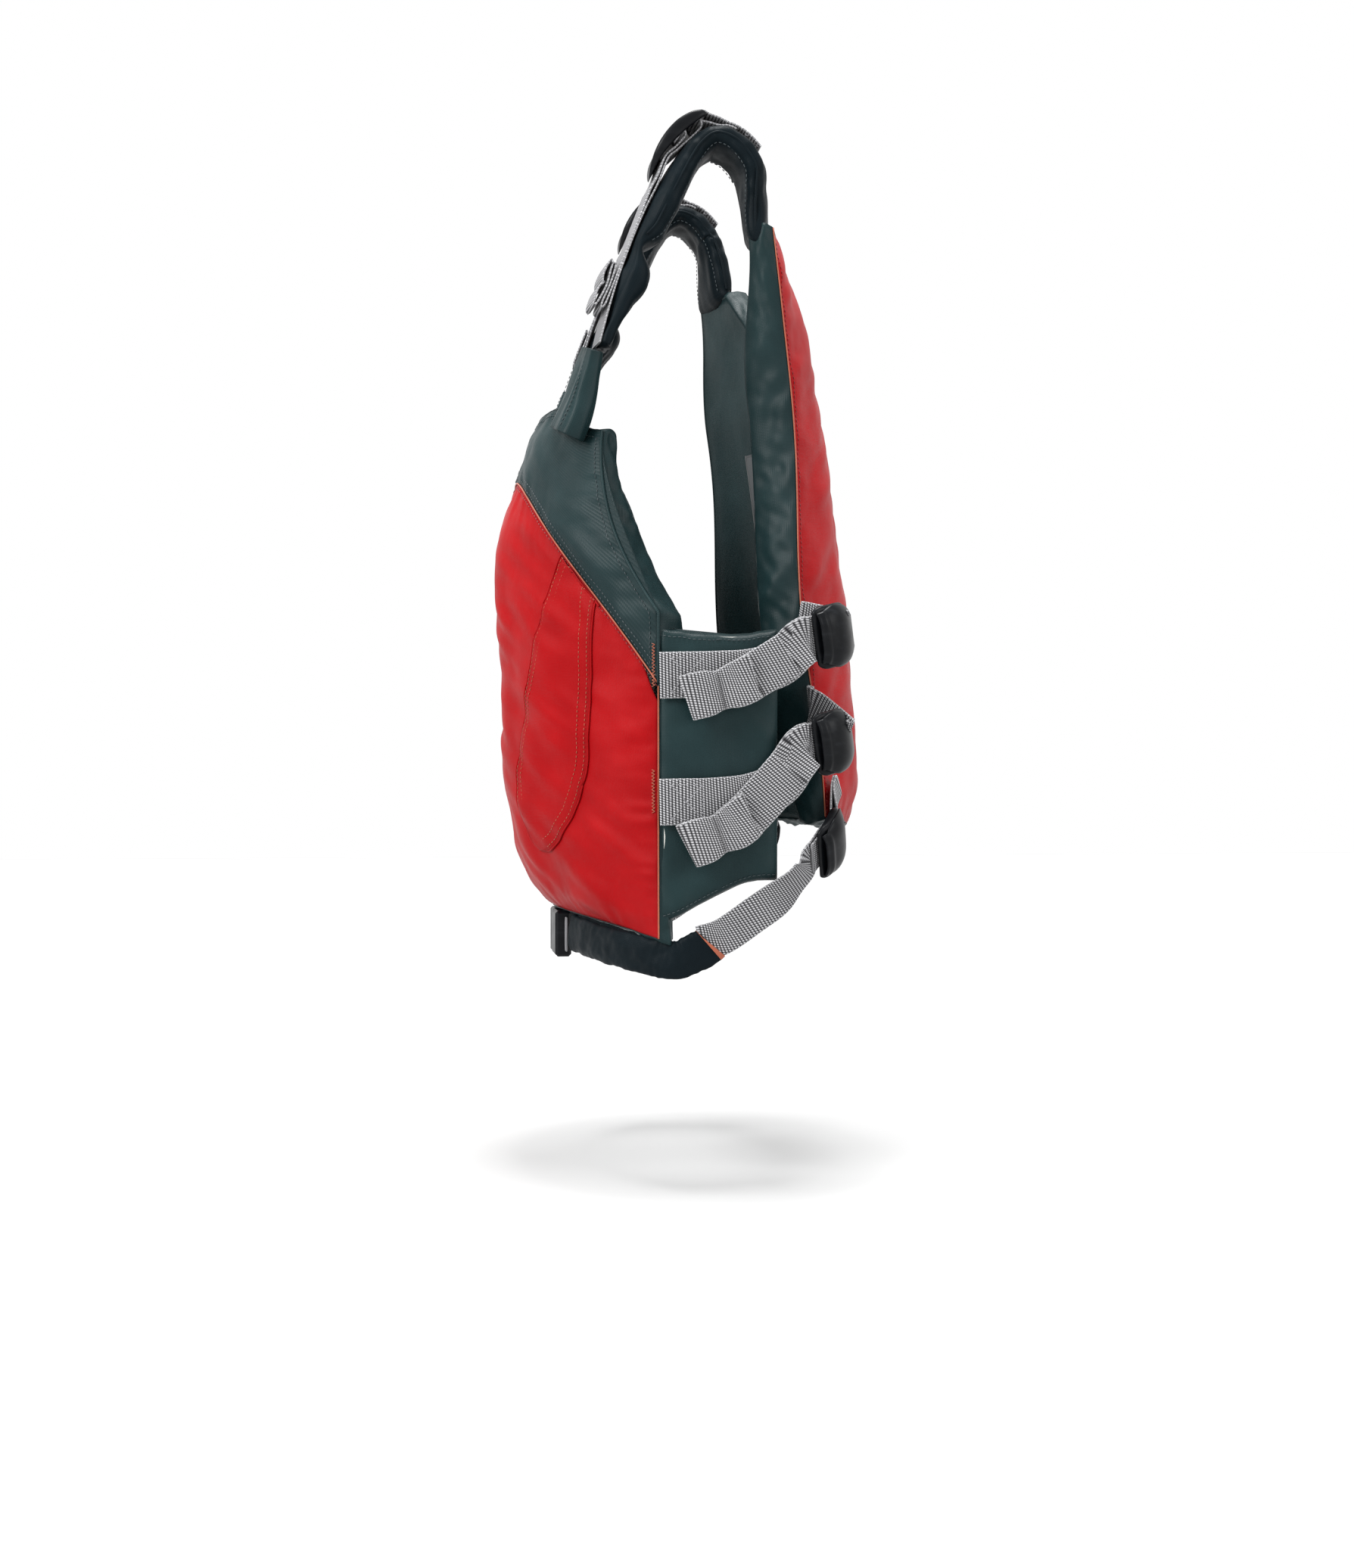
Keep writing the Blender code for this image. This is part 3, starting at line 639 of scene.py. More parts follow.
class Shader:
    """A material whose nodes are added and linked in few words."""

    def __init__(self, name, roughness, **constants):
        self.material = bpy.data.materials.new(name)
        self.material.use_nodes = True
        self.tree = self.material.node_tree
        self.surface = self.tree.nodes["Principled BSDF"]
        self.surface.inputs["Roughness"].default_value = roughness
        for socket, value in constants.items():
            self.surface.inputs[socket.replace("_", " ")].default_value = value

    def feed(self, socket, value):
        if isinstance(value, bpy.types.NodeSocket):
            self.tree.links.new(value, socket)
        else:
            socket.default_value = value

    def math(self, operation, first, second=0.0, third=0.0):
        node = self.tree.nodes.new("ShaderNodeMath")
        node.operation = operation
        for socket, value in zip(node.inputs, (first, second, third)):
            self.feed(socket, value)
        return node.outputs[0]

    def uv(self):
        """Metres across and along the cloth."""
        place = self.tree.nodes.new("ShaderNodeTexCoord")
        split = self.tree.nodes.new("ShaderNodeSeparateXYZ")
        self.tree.links.new(place.outputs["UV"], split.inputs[0])
        return split.outputs[0], split.outputs[1]

    def edge(self):
        node = self.tree.nodes.new("ShaderNodeAttribute")
        node.attribute_name = "edge"
        return node.outputs["Fac"]

    def noise(self, scale, detail=3.0, stretch=(1.0, 1.0, 1.0)):
        place = self.tree.nodes.new("ShaderNodeTexCoord")
        mapping = self.tree.nodes.new("ShaderNodeMapping")
        mapping.inputs["Scale"].default_value = stretch
        node = self.tree.nodes.new("ShaderNodeTexNoise")
        node.inputs["Scale"].default_value = scale
        node.inputs["Detail"].default_value = detail
        self.tree.links.new(place.outputs["Object"], mapping.inputs[0])
        self.tree.links.new(mapping.outputs[0], node.inputs["Vector"])
        return node.outputs["Fac"]

    def wave(self, value, pitch):
        """A sine from 0 to 1 of a length in metres."""
        turn = self.math("MULTIPLY", value, 2.0 * math.pi / pitch)
        return self.math("MULTIPLY_ADD", self.math("SINE", turn), 0.5, 0.5)

    def blend(self, share, first, second):
        node = self.tree.nodes.new("ShaderNodeMix")
        node.data_type = "RGBA"
        self.feed(node.inputs[0], share)
        self.feed(node.inputs[6], (*first, 1.0) if isinstance(first, tuple) else first)
        self.feed(node.inputs[7], (*second, 1.0) if isinstance(second, tuple) else second)
        return node.outputs[2]

    def range(self, value, low, high):
        node = self.tree.nodes.new("ShaderNodeMapRange")
        self.feed(node.inputs["Value"], value)
        node.inputs["To Min"].default_value = low
        node.inputs["To Max"].default_value = high
        return node.outputs[0]

    def bump(self, height, distance, strength=1.0, under=None):
        node = self.tree.nodes.new("ShaderNodeBump")
        node.inputs["Strength"].default_value = strength
        node.inputs["Distance"].default_value = distance
        self.feed(node.inputs["Height"], height)
        if under:
            self.feed(node.inputs["Normal"], under)
        return node.outputs[0]

    def finish(self, colour, roughness, normal):
        self.feed(self.surface.inputs["Base Color"], colour)
        self.feed(self.surface.inputs["Roughness"], roughness)
        self.feed(self.surface.inputs["Normal"], normal)
        return self.material


def woven_nylon(name, colour, shade, worn, gloss):
    """Coated pack cloth: a fine plain weave, unevenly dyed, with painted shade darkening it along its seams and rims,
    and rubbed pale in places.
    """
    roughness, pitch = 0.42, 0.0011
    shader = Shader(name, roughness, Sheen_Weight=0.01, Sheen_Roughness=0.45, Specular_IOR_Level=gloss)
    across, along = shader.uv()
    diagonal = shader.wave(shader.math("ADD", across, along), pitch)
    threads = shader.math("MULTIPLY", shader.wave(across, pitch), shader.wave(along, pitch))
    weave = shader.math("MULTIPLY_ADD", diagonal, 0.45, threads)
    dye_and_seam_shade = shader.blend(shader.range(shader.noise(16.0), 0.0, 0.75), colour, shade)
    dye_and_seam_shade = shader.blend(shader.math("MULTIPLY", weave, 0.14), dye_and_seam_shade, shade)
    rubbed = shader.math("POWER", shader.noise(38.0, 5.0), 3.0)
    dye_and_seam_shade = shader.blend(shader.math("MULTIPLY", rubbed, 0.55), dye_and_seam_shade, worn)
    # painted shade: the shade colour is mixed in where the edge attribute is high, darkening the cloth along its seams
    # where it dips
    dye_and_seam_shade = shader.blend(shader.math("MULTIPLY", shader.edge(), 0.45), dye_and_seam_shade, shade)
    rough = shader.range(shader.noise(45.0, 4.0), roughness - 0.09, roughness + 0.10)
    crease = shader.bump(shader.noise(75.0, 4.0, (1.0, 1.0, 0.6)), 0.0010, 0.35)
    return shader.finish(dye_and_seam_shade, rough, shader.bump(weave, 0.00012, 0.55, crease))


def webbing(name, dark, pale):
    """Ribbed webbing: ribs across the strap, each a row of short slanted pale floats on a dark ground."""
    shader = Shader(name, 0.62, Sheen_Weight=0.05, Sheen_Roughness=0.5, Specular_IOR_Level=0.2)
    across, along = shader.uv()
    rib_pitch, float_pitch = 0.0023, 0.0017
    ribs = shader.wave(along, rib_pitch)
    slant = shader.math("MULTIPLY_ADD", along, 0.35, across)
    floats = shader.wave(slant, float_pitch)
    floats = shader.math("MULTIPLY_ADD", floats, 0.90, 0.10)
    mask = shader.math("MULTIPLY", shader.math("POWER", ribs, 0.9), floats)
    cord = shader.wave(along, 0.0013)
    selvedge = shader.math("MULTIPLY", shader.edge(), shader.math("MULTIPLY_ADD", cord, 0.35, 0.15))
    mask = shader.math("MAXIMUM", mask, selvedge)
    grime = shader.range(shader.noise(55.0, 4.0), 0.78, 1.0)
    mask = shader.math("MULTIPLY", mask, grime)
    colour = shader.blend(mask, dark, pale)
    rough = shader.range(mask, 0.80, 0.55)
    return shader.finish(colour, rough, shader.bump(mask, 0.0004, 0.8))


def moulded_plastic(name, colour, pale):
    """Acetal mouldings: satin, with a faint spark-eroded grain and rubbed scratches."""
    shader = Shader(name, 0.34, Specular_IOR_Level=0.11, Coat_Weight=0.02, Coat_Roughness=0.3)
    scratch = shader.math("POWER", shader.noise(240.0, 2.0, (1.0, 0.08, 1.0)), 5.0)
    tone = shader.blend(shader.math("MULTIPLY", scratch, 1.5), colour, pale)
    rough = shader.range(shader.noise(90.0, 3.0), 0.26, 0.44)
    return shader.finish(tone, rough, shader.bump(shader.noise(1500.0, 1.0), 0.00010, 0.30))


def thread(name, colour, shade):
    shader = Shader(name, 0.55, Sheen_Weight=0.15)
    tone = shader.blend(shader.noise(400.0), colour, shade)
    rough = shader.range(shader.noise(200.0), 0.45, 0.65)
    return shader.finish(tone, rough, shader.bump(shader.noise(2500.0), 0.0001, 0.5))


def closed_foam(name):
    shader = Shader(name, 0.85)
    tone = shader.blend(shader.noise(120.0), (0.60, 0.60, 0.56), (0.48, 0.48, 0.45))
    rough = shader.range(shader.noise(300.0), 0.75, 0.95)
    return shader.finish(tone, rough, shader.bump(shader.noise(1800.0), 0.0002, 0.6))


def printed_label(name):
    """Blank satin label tape with a plain printed border."""
    shader = Shader(name, 0.55, Sheen_Weight=0.1)
    across, along = shader.uv()
    weave = shader.math("MULTIPLY", shader.wave(across, 0.0007), shader.wave(along, 0.0007))
    tone = shader.blend(shader.noise(60.0), (0.055, 0.062, 0.066), (0.040, 0.045, 0.048))
    tone = shader.blend(shader.math("GREATER_THAN", shader.edge(), 0.72), tone, (0.015, 0.018, 0.02))
    return shader.finish(tone, shader.range(weave, 0.48, 0.62), shader.bump(weave, 0.0001, 0.4))


def floor_paper(name):
    shader = Shader(name, 0.9, Specular_IOR_Level=0.1)
    tone = shader.blend(shader.noise(3.0), (0.42, 0.42, 0.42), (0.405, 0.405, 0.405))
    rough = shader.range(shader.noise(20.0), 0.85, 0.95)
    return shader.finish(tone, rough, shader.bump(shader.noise(300.0), 0.0002, 0.1))


RED = woven_nylon(
    "red_nylon_cloth", (0.335, 0.0010, 0.0030), (0.150, 0.0004, 0.0012), (0.45, 0.008, 0.010), 0.07
)
SLATE = woven_nylon(
    "slate_nylon_cloth", (0.0080, 0.0250, 0.0270), (0.0020, 0.0070, 0.0080), (0.026, 0.056, 0.060), 0.14
)
DARK = woven_nylon(
    "dark_nylon_cloth", (0.0040, 0.0080, 0.0105), (0.0012, 0.0025, 0.0035), (0.014, 0.024, 0.030), 0.05
)
WEBBING = webbing("grey_webbing_weave", (0.008, 0.008, 0.010), (0.66, 0.66, 0.68))
PLASTIC = moulded_plastic("black_acetal", (0.0025, 0.0030, 0.0040), (0.018, 0.020, 0.023))
FOAM = closed_foam("closed_cell_foam")
LABEL = printed_label("blank_label")
SLATE_THREAD = thread("slate_thread", (0.020, 0.036, 0.042), (0.010, 0.018, 0.022))
RED_THREAD = thread("red_thread", (0.20, 0.002, 0.003), (0.11, 0.001, 0.002))
AMBER_THREAD = thread("amber_thread", (0.36, 0.085, 0.030), (0.22, 0.040, 0.015))
GREY_THREAD = thread("grey_thread", (0.32, 0.32, 0.33), (0.18, 0.18, 0.20))
BARTACK = {"pitch": 0.0030, "share": 0.98, "radius": 0.0003}


# ---------------------------------------------------------------- front and back


def panel_cloth(panel, name, columns, rows, material):
    def at(u, v):
        return on_panel(panel, *panel_place(panel, u, v))

    made = grid_object(f"{name}_cloth", at, columns, rows, material, flip=panel["outward"] > 0.0)
    put(solid(made), "root", name, fill=0.7)


def inner_drop(panel, height):
    """How much lower the lining's top edge is than the outer panel's."""
    if panel["outward"] > 0.0:
        return 0.0
    return 0.019 * ease((height - 0.330) / 0.050)


def gusset_at(panel):
    """The band round a panel's edge, from its face at v 0 to its lining at v 1."""
    corners = [(0.5, 0.0), (1.0, 0.0), (1.0, 1.0), (0.0, 1.0), (0.0, 0.0), (0.5, 0.0)]
    spans = [0.0, 0.125, 0.375, 0.625, 0.875, 1.0]

    def at(u, v):
        i = max(k for k in range(5) if spans[k] <= u)
        share = (u - spans[i]) / (spans[i + 1] - spans[i])
        across = mix(corners[i][0], corners[i + 1][0], share)
        up = mix(corners[i][1], corners[i + 1][1], share)
        hump = math.sin(math.pi * v)
        pucker = wrinkle(u * 85.0 + v * 1.5, v * 1.4, panel["seed"] + 11.0)
        pucker += 0.5 * wrinkle(u * 190.0 - v * 2.0, v * 3.0, panel["seed"])
        bulge = 0.0030 * hump**0.7 + 0.0026 * pucker * hump**0.5
        x, height = panel_place(panel, across, up, -bulge)
        depth = mix(SEAM_DIP - 0.0004, panel["thickness"](height) - SEAM_DIP + 0.0004, v)
        height -= inner_drop(panel, height) * v * v
        return in_panel(panel, x, height, depth)

    return at


def add_gusset(panel, name):
    at = gusset_at(panel)
    made = grid_object(f"{name}_cloth", at, 520, 22, SLATE, flip=panel["outward"] < 0.0)
    put(solid(made), "root", name, fill=0.7)


def add_lining(panel, name):
    def at(u, v):
        x, height = panel_place(panel, u, v)
        rim = min(u, 1.0 - u, v, 1.0 - v)
        puff = 0.0022 * (1.0 - math.exp(-rim / 0.06))
        puff += 0.0012 * wrinkle(x / 0.03, height / 0.05, panel["seed"] + 5.0)
        puff *= clamp(rim / 0.03)
        depth = panel["thickness"](height) - SEAM_DIP + puff
        return in_panel(panel, x, height - inner_drop(panel, height), depth)

    made = grid_object(f"{name}_cloth", at, 70, 90, SLATE, flip=panel["outward"] < 0.0)
    put(solid(made), "root", name)


def add_core(panel, name):
    """The foam inside a panel, clear of its cloth on every side."""

    def at(u, v):
        x_share, y_share = superellipse(u, 5.0)
        close = (1.0 - abs(2.0 * v - 1.0) ** 24) ** 0.5
        deep = 0.5 - 0.32 * y_share * close
        x, height = panel_place(panel, 0.5 + 0.5 * x_share, v, 0.008)
        lower = height - 1.2 * deep * inner_drop(panel, height)
        return in_panel(panel, x, lower, panel["thickness"](height) * deep)

    core = grid_object(f"{name}_block", at, 96, 90, FOAM, wrap=True)
    put(core, "root", name)


def edge_line(panel, start, end, lift, margin=0.0):
    """A path along a panel's side edge between two heights."""

    def at(share):
        height = mix(start, end, share)
        return on_panel(panel, panel["half"](height) - margin, height, lift)

    return at


def add_seam(name, path, material, radius, rows, side=1.0):
    put(tube(name, path, radius, material, rows, side), "root")


def add_front():
    panel_cloth(RED_FRONT, "front_red_panel", 190, 130, RED)
    panel_cloth(YOKE, "front_yoke", 190, 80, SLATE)
    add_gusset(FRONT, "front_gusset")
    add_lining(FRONT, "front_lining")
    add_core(FRONT, "front_foam_core")

    def yoke_line(offset, lift):
        def at(share):
            x = mix(-FRONT_HALF, FRONT_HALF, share) * 0.997
            height = yoke_seam(x) + offset
            panel = RED_FRONT if offset < 0.0 else YOKE
            return on_panel(panel, x, height, lift)

        return at

    add_seam("yoke_seam_edge", yoke_line(-0.0002, 0.0006), AMBER_THREAD, 0.00055, 240)
    rows = [yoke_line(0.0032, 0.0002), yoke_line(0.0090, 0.0001)]
    sew("yoke_topstitch", rows, SLATE_THREAD)
    sew("red_topstitch", [yoke_line(-0.0034, 0.0002)], RED_THREAD)

    for side, hand in SIDES:
        seam_top = yoke_seam(FRONT_HALF) - 0.002
        side_seam = edge_line(RED_FRONT, 0.0285, seam_top, 0.0005, -0.0002)
        add_seam(f"side_seam_edge_{hand}", side_seam, AMBER_THREAD, 0.00055, 140, side)
        armhole = edge_line(YOKE, seam_top + 0.002, 0.384, 0.0008, -0.0003)
        add_seam(f"armhole_piping_{hand}", armhole, SLATE, 0.0011, 120, side)
        inner = [edge_line(YOKE, seam_top + 0.004, 0.380, 0.0003, 0.0040)]
        sew(f"armhole_topstitch_{hand}", inner, SLATE_THREAD, side)
        tacks = []
        for low in (0.115, 0.202):
            tack = edge_line(RED_FRONT, low, low + 0.030, 0.0006, 0.0022)
            tacks.append(zigzag(tack(0.0), tack(1.0), Vector((0.75, -0.66, 0.0)), 0.0030, 26))
        sew(f"seam_bartacks_{hand}", tacks, AMBER_THREAD, side, **BARTACK)

    def neck_line(share):
        x = mix(-0.108, 0.108, share)
        return on_panel(YOKE, x, front_top(x) - 0.005, 0.0002)

    sew("neck_topstitch", [neck_line], SLATE_THREAD)


def add_back():
    panel_cloth(BACK, "back_red_panel", 120, 150, RED)
    add_gusset(BACK, "back_gusset")
    add_lining(BACK, "back_lining")
    for side, hand in SIDES:
        edge = edge_line(BACK, 0.112, 0.5295, 0.0006, -0.0003)
        add_seam(f"back_seam_edge_{hand}", edge, AMBER_THREAD, 0.0005, 160, side)
        row = [edge_line(BACK, 0.114, 0.524, 0.0002, 0.0036)]
        sew(f"back_topstitch_{hand}", row, RED_THREAD, side)

    def label_at(u, v):
        x = mix(-0.060, -0.010, u)
        height = mix(0.300, 0.400, v)
        return in_panel(BACK, x, height, back_thickness(height) - SEAM_DIP + 0.0034)

    label = solid(grid_object("care_label_tape", label_at, 24, 40, LABEL), 0.0005)
    put(label, "root", "care_label")


def pocket_outline(v):
    """Height, centre and half width of the slanted U, from its round end up."""
    widest, low_end, top_end = 0.150, 0.087, 0.300
    height = mix(low_end, top_end, v**1.5)
    centre = 0.064 + 0.20 * (height - low_end)
    if height < widest:
        half = 0.033 * math.sqrt(1.0 - ((height - widest) / (widest - low_end + 0.001)) ** 2)
    else:
        half = 0.033 - 0.136 * (height - widest)
    return height, centre, half


def pocket_point(u, v, lift, inset=0.0):
    height, centre, half = pocket_outline(v)
    half = max(half - inset, 0.0)
    x = centre + (2.0 * u - 1.0) * half
    height = min(height + inset * (1.0 - v), yoke_seam(x) - 0.003)
    return on_panel(RED_FRONT, x, height, lift)


def add_pockets():
    for side, hand in SIDES:
        def at(u, v):
            rim = min(u, 1.0 - u) * 0.06
            puff = 0.0012 * (1.0 - math.exp(-rim / 0.006)) + 0.0008 * wrinkle(u * 2.0, v * 6.0, 21.0)
            return pocket_point(u, v, 0.0009 + puff)

        pocket = solid(grid_object(f"pocket_cloth_{hand}", at, 40, 110, RED, side))
        put(pocket, "root", f"pocket_{hand}")

        def outline(inset, lift):
            def path(share):
                turn = abs(2.0 * share - 1.0)
                return pocket_point(0.0 if share < 0.5 else 1.0, turn, lift, inset)

            return path

        rows = [outline(0.0022, 0.0016), outline(0.0072, 0.0019)]
        sew(f"pocket_topstitch_{hand}", rows, AMBER_THREAD, side, pitch=0.0032, share=0.62, radius=0.00028)
        add_seam(f"pocket_edge_{hand}", outline(-0.0002, 0.0009), RED, 0.0007, 160, side)


TAB_ACROSS = fixed(Vector((1.0, 0.14, 0.0)))


def add_tabs():
    """The gathered tabs that rise from the yoke to the shoulder straps."""

    def middle(v):
        x = mix(0.0835, 0.097, v)
        height = mix(0.3860, 0.4440, v)
        return Vector((x, front_y(x, height) - 0.001 - 0.002 * ease(v), height))

    def half_width(v):
        return mix(0.0300, 0.0175, v**1.3)

    def half_thick(v):
        return mix(0.0115, 0.0062, v)

    def gathers(x, y, v):
        fold = wrinkle(x * 3.2, v * 1.3, 31.0) + 0.6 * wrinkle(x * 7.0, v * 2.2, 32.0)
        return 0.0022 * fold * (1.0 - 0.4 * v)

    at = swept(middle, TAB_ACROSS, half_width, half_thick, 3.0, gathers)
    for side, hand in SIDES:
        tab = grid_object(f"chest_tab_cloth_{hand}", at, 72, 60, SLATE, side, wrap=True)
        put(tab, "root", f"chest_tab_{hand}", fill=0.3)

        def border(x):
            def path(share):
                v = mix(0.06, 0.94, share)
                wide, out = section_frame(middle, TAB_ACROSS, v)
                return middle(v) + wide * (x * half_width(v)) + out * (half_thick(v) * 0.90)

            return path

        rows = [border(-0.80), border(0.80), border(0.66)]
        sew(f"tab_topstitch_{hand}", rows, SLATE_THREAD, side)


# ---------------------------------------------------------------- side flaps


def flap_bottom(y):
    return mix(0.037, 0.068, ease((y + 0.045) / 0.085))


def add_flaps():
    half = FLAP_THICK / 2.0
    centre_x = FLAP_FACE_X - half
    front, rear = -0.0335, FLAP_REAR_Y

    def at(u, v):
        x, y = superellipse(u, 4.0)
        close = (1.0 - abs(2.0 * v - 1.0) ** 26) ** 0.5
        run = mix(front, rear, (x + 1.0) / 2.0)
        sag = 1.0 - (2.0 * (run - front) / (rear - front) - 1.0) ** 2
        top = FLAP_TOP - 0.003 * sag + 0.0024 * wrinkle(run / 0.013, 3.0, 43.0)
        height = mix(flap_bottom(run), top, v)
        pinch = mix(0.16, 1.0, close)
        seamed = 0.0018 * wrinkle(run / 0.011, v * 7.0, 41.0) * math.exp(-min(v, 1.0 - v) / 0.08)
        fold = 0.0022 * wrinkle(run / 0.03, height / 0.06, 42.0)
        fold += 0.0014 * wrinkle(run / 0.02 + height / 0.03, height / 0.025, 44.0)
        out = (half - 0.0004) * y * pinch + (seamed + fold) * y
        return Vector((centre_x + out, run, height))

    for side, hand in SIDES:
        body = f"side_flap_{hand}"
        cover = grid_object(f"side_flap_cloth_{hand}", at, 120, 130, SLATE, side, wrap=True, flip=True)
        put(cover, body, f"side_flap_cover_{hand}", fill=0.8)

        def rim(v):
            return lambda share: at(mix(0.48, 0.02, share), v) + Vector((0.0006, 0.0, 0.0))

        sew(f"side_flap_topstitch_{hand}", [rim(0.972), rim(0.024)], SLATE_THREAD, side, body)


# ---------------------------------------------------------------- shoulder straps


SHOULDER_OUTER = [
    (STRAP_X - 0.005, 0.0535, 0.5325), (STRAP_X - 0.003, 0.0515, 0.556), (STRAP_X, 0.046, 0.579),
    (STRAP_X, 0.030, 0.597), (STRAP_X, 0.010, 0.602), (STRAP_X, -0.007, 0.592),
    (STRAP_X, -0.022, 0.571), (STRAP_X, -0.037, 0.543), (STRAP_X, -0.050, 0.512),
    (STRAP_X, -0.061, 0.480), (STRAP_X, -0.0700, 0.4462),
]
ACROSS_X = fixed(Vector((1.0, 0.0, 0.0)))
SHOULDER_ALONG = Vector((0.0, 0.751, 0.660))
SHOULDER_FACING = Vector((0.0, -0.660, 0.751))
SHOULDER_BUCKLE = Vector((STRAP_X, 0.0020, 0.6090))

shoulder_line = smooth_path(SHOULDER_OUTER)


def shoulder_out(share):
    step = 0.01
    run = shoulder_line(min(share + step, 1.0)) - shoulder_line(max(share - step, 0.0))
    return Vector((0.0, run.z, -run.y)).normalized()


def off_shoulder(share, lift):
    return shoulder_line(share) + shoulder_out(share) * lift


pad_half_thick = height_curve([
    (0.0, 0.0030), (0.03, 0.0084), (0.20, 0.0092), (0.40, 0.0080), (0.55, 0.0088), (0.73, 0.0096),
    (0.785, 0.0046), (0.84, 0.0108), (0.90, 0.0078), (0.95, 0.0046), (1.0, 0.0034),
])


def pad_half_width(share):
    return mix(PAD_WIDTH, 0.036, ease((share - 0.55) / 0.45)) / 2.0


def pad_across(share):
    """The root follows the back panel's curve, and the front is turned a little outward."""
    root = 1.0 - ease(share / 0.22)
    front = ease((share - 0.40) / 0.25)
    return Vector((1.0, 0.08 * front - 0.21 * root, 0.0))


def add_shoulder_pads():
    def middle(share):
        sink = 0.010 * (1.0 - ease(share / 0.10))
        return off_shoulder(share, -pad_half_thick(share)) - Vector((0.0, 0.0, sink))

    def creases(x, y, v):
        rim = abs(x) ** 3
        fold = 0.0016 * rim * wrinkle(v * 30.0, x * 1.5, 51.0)
        fold += 0.0012 * wrinkle(v * 13.0, x * 2.5 + y, 52.0)
        rear = 1.0 - ease((v - 0.25) / 0.1)
        loose = ease((v - 0.76) / 0.04)
        return fold + (rear * 0.0016 + loose * 0.0030) * wrinkle(v * 11.0 + x, x * 1.6 + y, 53.0)

    at = swept(middle, pad_across, pad_half_width, pad_half_thick, 2.8, creases)
    for side, hand in SIDES:
        pad = grid_object(f"shoulder_pad_cloth_{hand}", at, 80, 260, DARK, side, wrap=True)
        put(pad, "root", f"shoulder_pad_{hand}", fill=0.7)

        def border(edge, lift):
            def path(share):
                v = mix(0.03, 0.76, share)
                wide, out = section_frame(middle, pad_across, v)
                return middle(v) + wide * (edge * pad_half_width(v)) + out * (lift * pad_half_thick(v))

            return path

        for number, edge in enumerate((-1.0, 1.0)):
            piping = border(edge, 0.0)
            add_seam(f"shoulder_pad_piping_{number}_{hand}", piping, DARK, 0.0010, 200, side)
        rows = [border(-0.86, 0.76), border(0.86, 0.76)]
        sew(f"shoulder_pad_topstitch_{hand}", rows, SLATE_THREAD, side)


# ---------------------------------------------------------------- buckles and webbing


LOCK_HALF_WIDTH = 0.0222
# Ladder-locks, station by station along their length: place, share of the width, arch, then half the
# thickness of the rails and of the bars. Slots follow the stations named in LOCK_SLOTS.
LONG_LOCK = [
    (-0.0560, 0.16, -0.0088, 0.0006, 0.0006), (-0.0515, 0.46, -0.0052, 0.0018, 0.0010),
    (-0.0430, 0.84, -0.0006, 0.0034, 0.0014), (-0.0300, 0.99, 0.0026, 0.0046, 0.0016),
    (-0.0190, 1.00, 0.0034, 0.0050, 0.0016), (-0.0154, 1.00, 0.0034, 0.0050, 0.0016),
    (-0.0060, 1.00, 0.0024, 0.0044, 0.0016), (-0.0020, 0.99, 0.0012, 0.0036, 0.0016),
    (0.0030, 0.92, -0.0004, 0.0024, 0.0018),
]
SHORT_LOCK = [
    (-0.0300, 0.84, -0.0006, 0.0014, 0.0012), (-0.0270, 0.95, 0.0002, 0.0020, 0.0014),
    (-0.0235, 1.00, 0.0010, 0.0026, 0.0016), (-0.0210, 1.00, 0.0014, 0.0030, 0.0016),
    (-0.0190, 1.00, 0.0016, 0.0032, 0.0016), (-0.0154, 1.00, 0.0018, 0.0034, 0.0016),
    (-0.0060, 1.00, 0.0014, 0.0034, 0.0016), (-0.0020, 1.00, 0.0010, 0.0030, 0.0016),
    (0.0026, 0.94, 0.0002, 0.0024, 0.0018),
]
LOCK_SLOTS = (4, 6)
SIDE_STRAPS = {"upper": (0.2095, 0.2370, 0.2490, 0.016), "lower": (0.1225, 0.1630, 0.1890, 0.030)}
SIDE_ALONG = Vector((-0.62, 0.74, 0.20))
SIDE_FACING = Vector((0.76, 0.63, 0.0))
WAIST_ALONG = Vector((-0.66, 0.50, 0.56))
WAIST_FACING = Vector((0.30, 0.95, 0.0))
WAIST_BAR = Vector((0.1300, 0.0945, 0.1010))


def buckle_axes(along, facing):
    along = along.normalized()
    facing = (facing - along * facing.dot(along)).normalized()
    return along, facing.cross(along), facing


def upward_bar(along, facing):
    """The way a buckle's bars run, taken upward."""
    bar = buckle_axes(along, facing)[1]
    return bar if bar.z > 0.0 else -bar


def in_buckle(origin, along, facing):
    """A function from a buckle's own x, y, z to the jacket's frame; the anchor bar is its origin."""
    along, bar, out = buckle_axes(along, facing)
    return lambda x, y, z: origin + along * x + bar * y + out * z


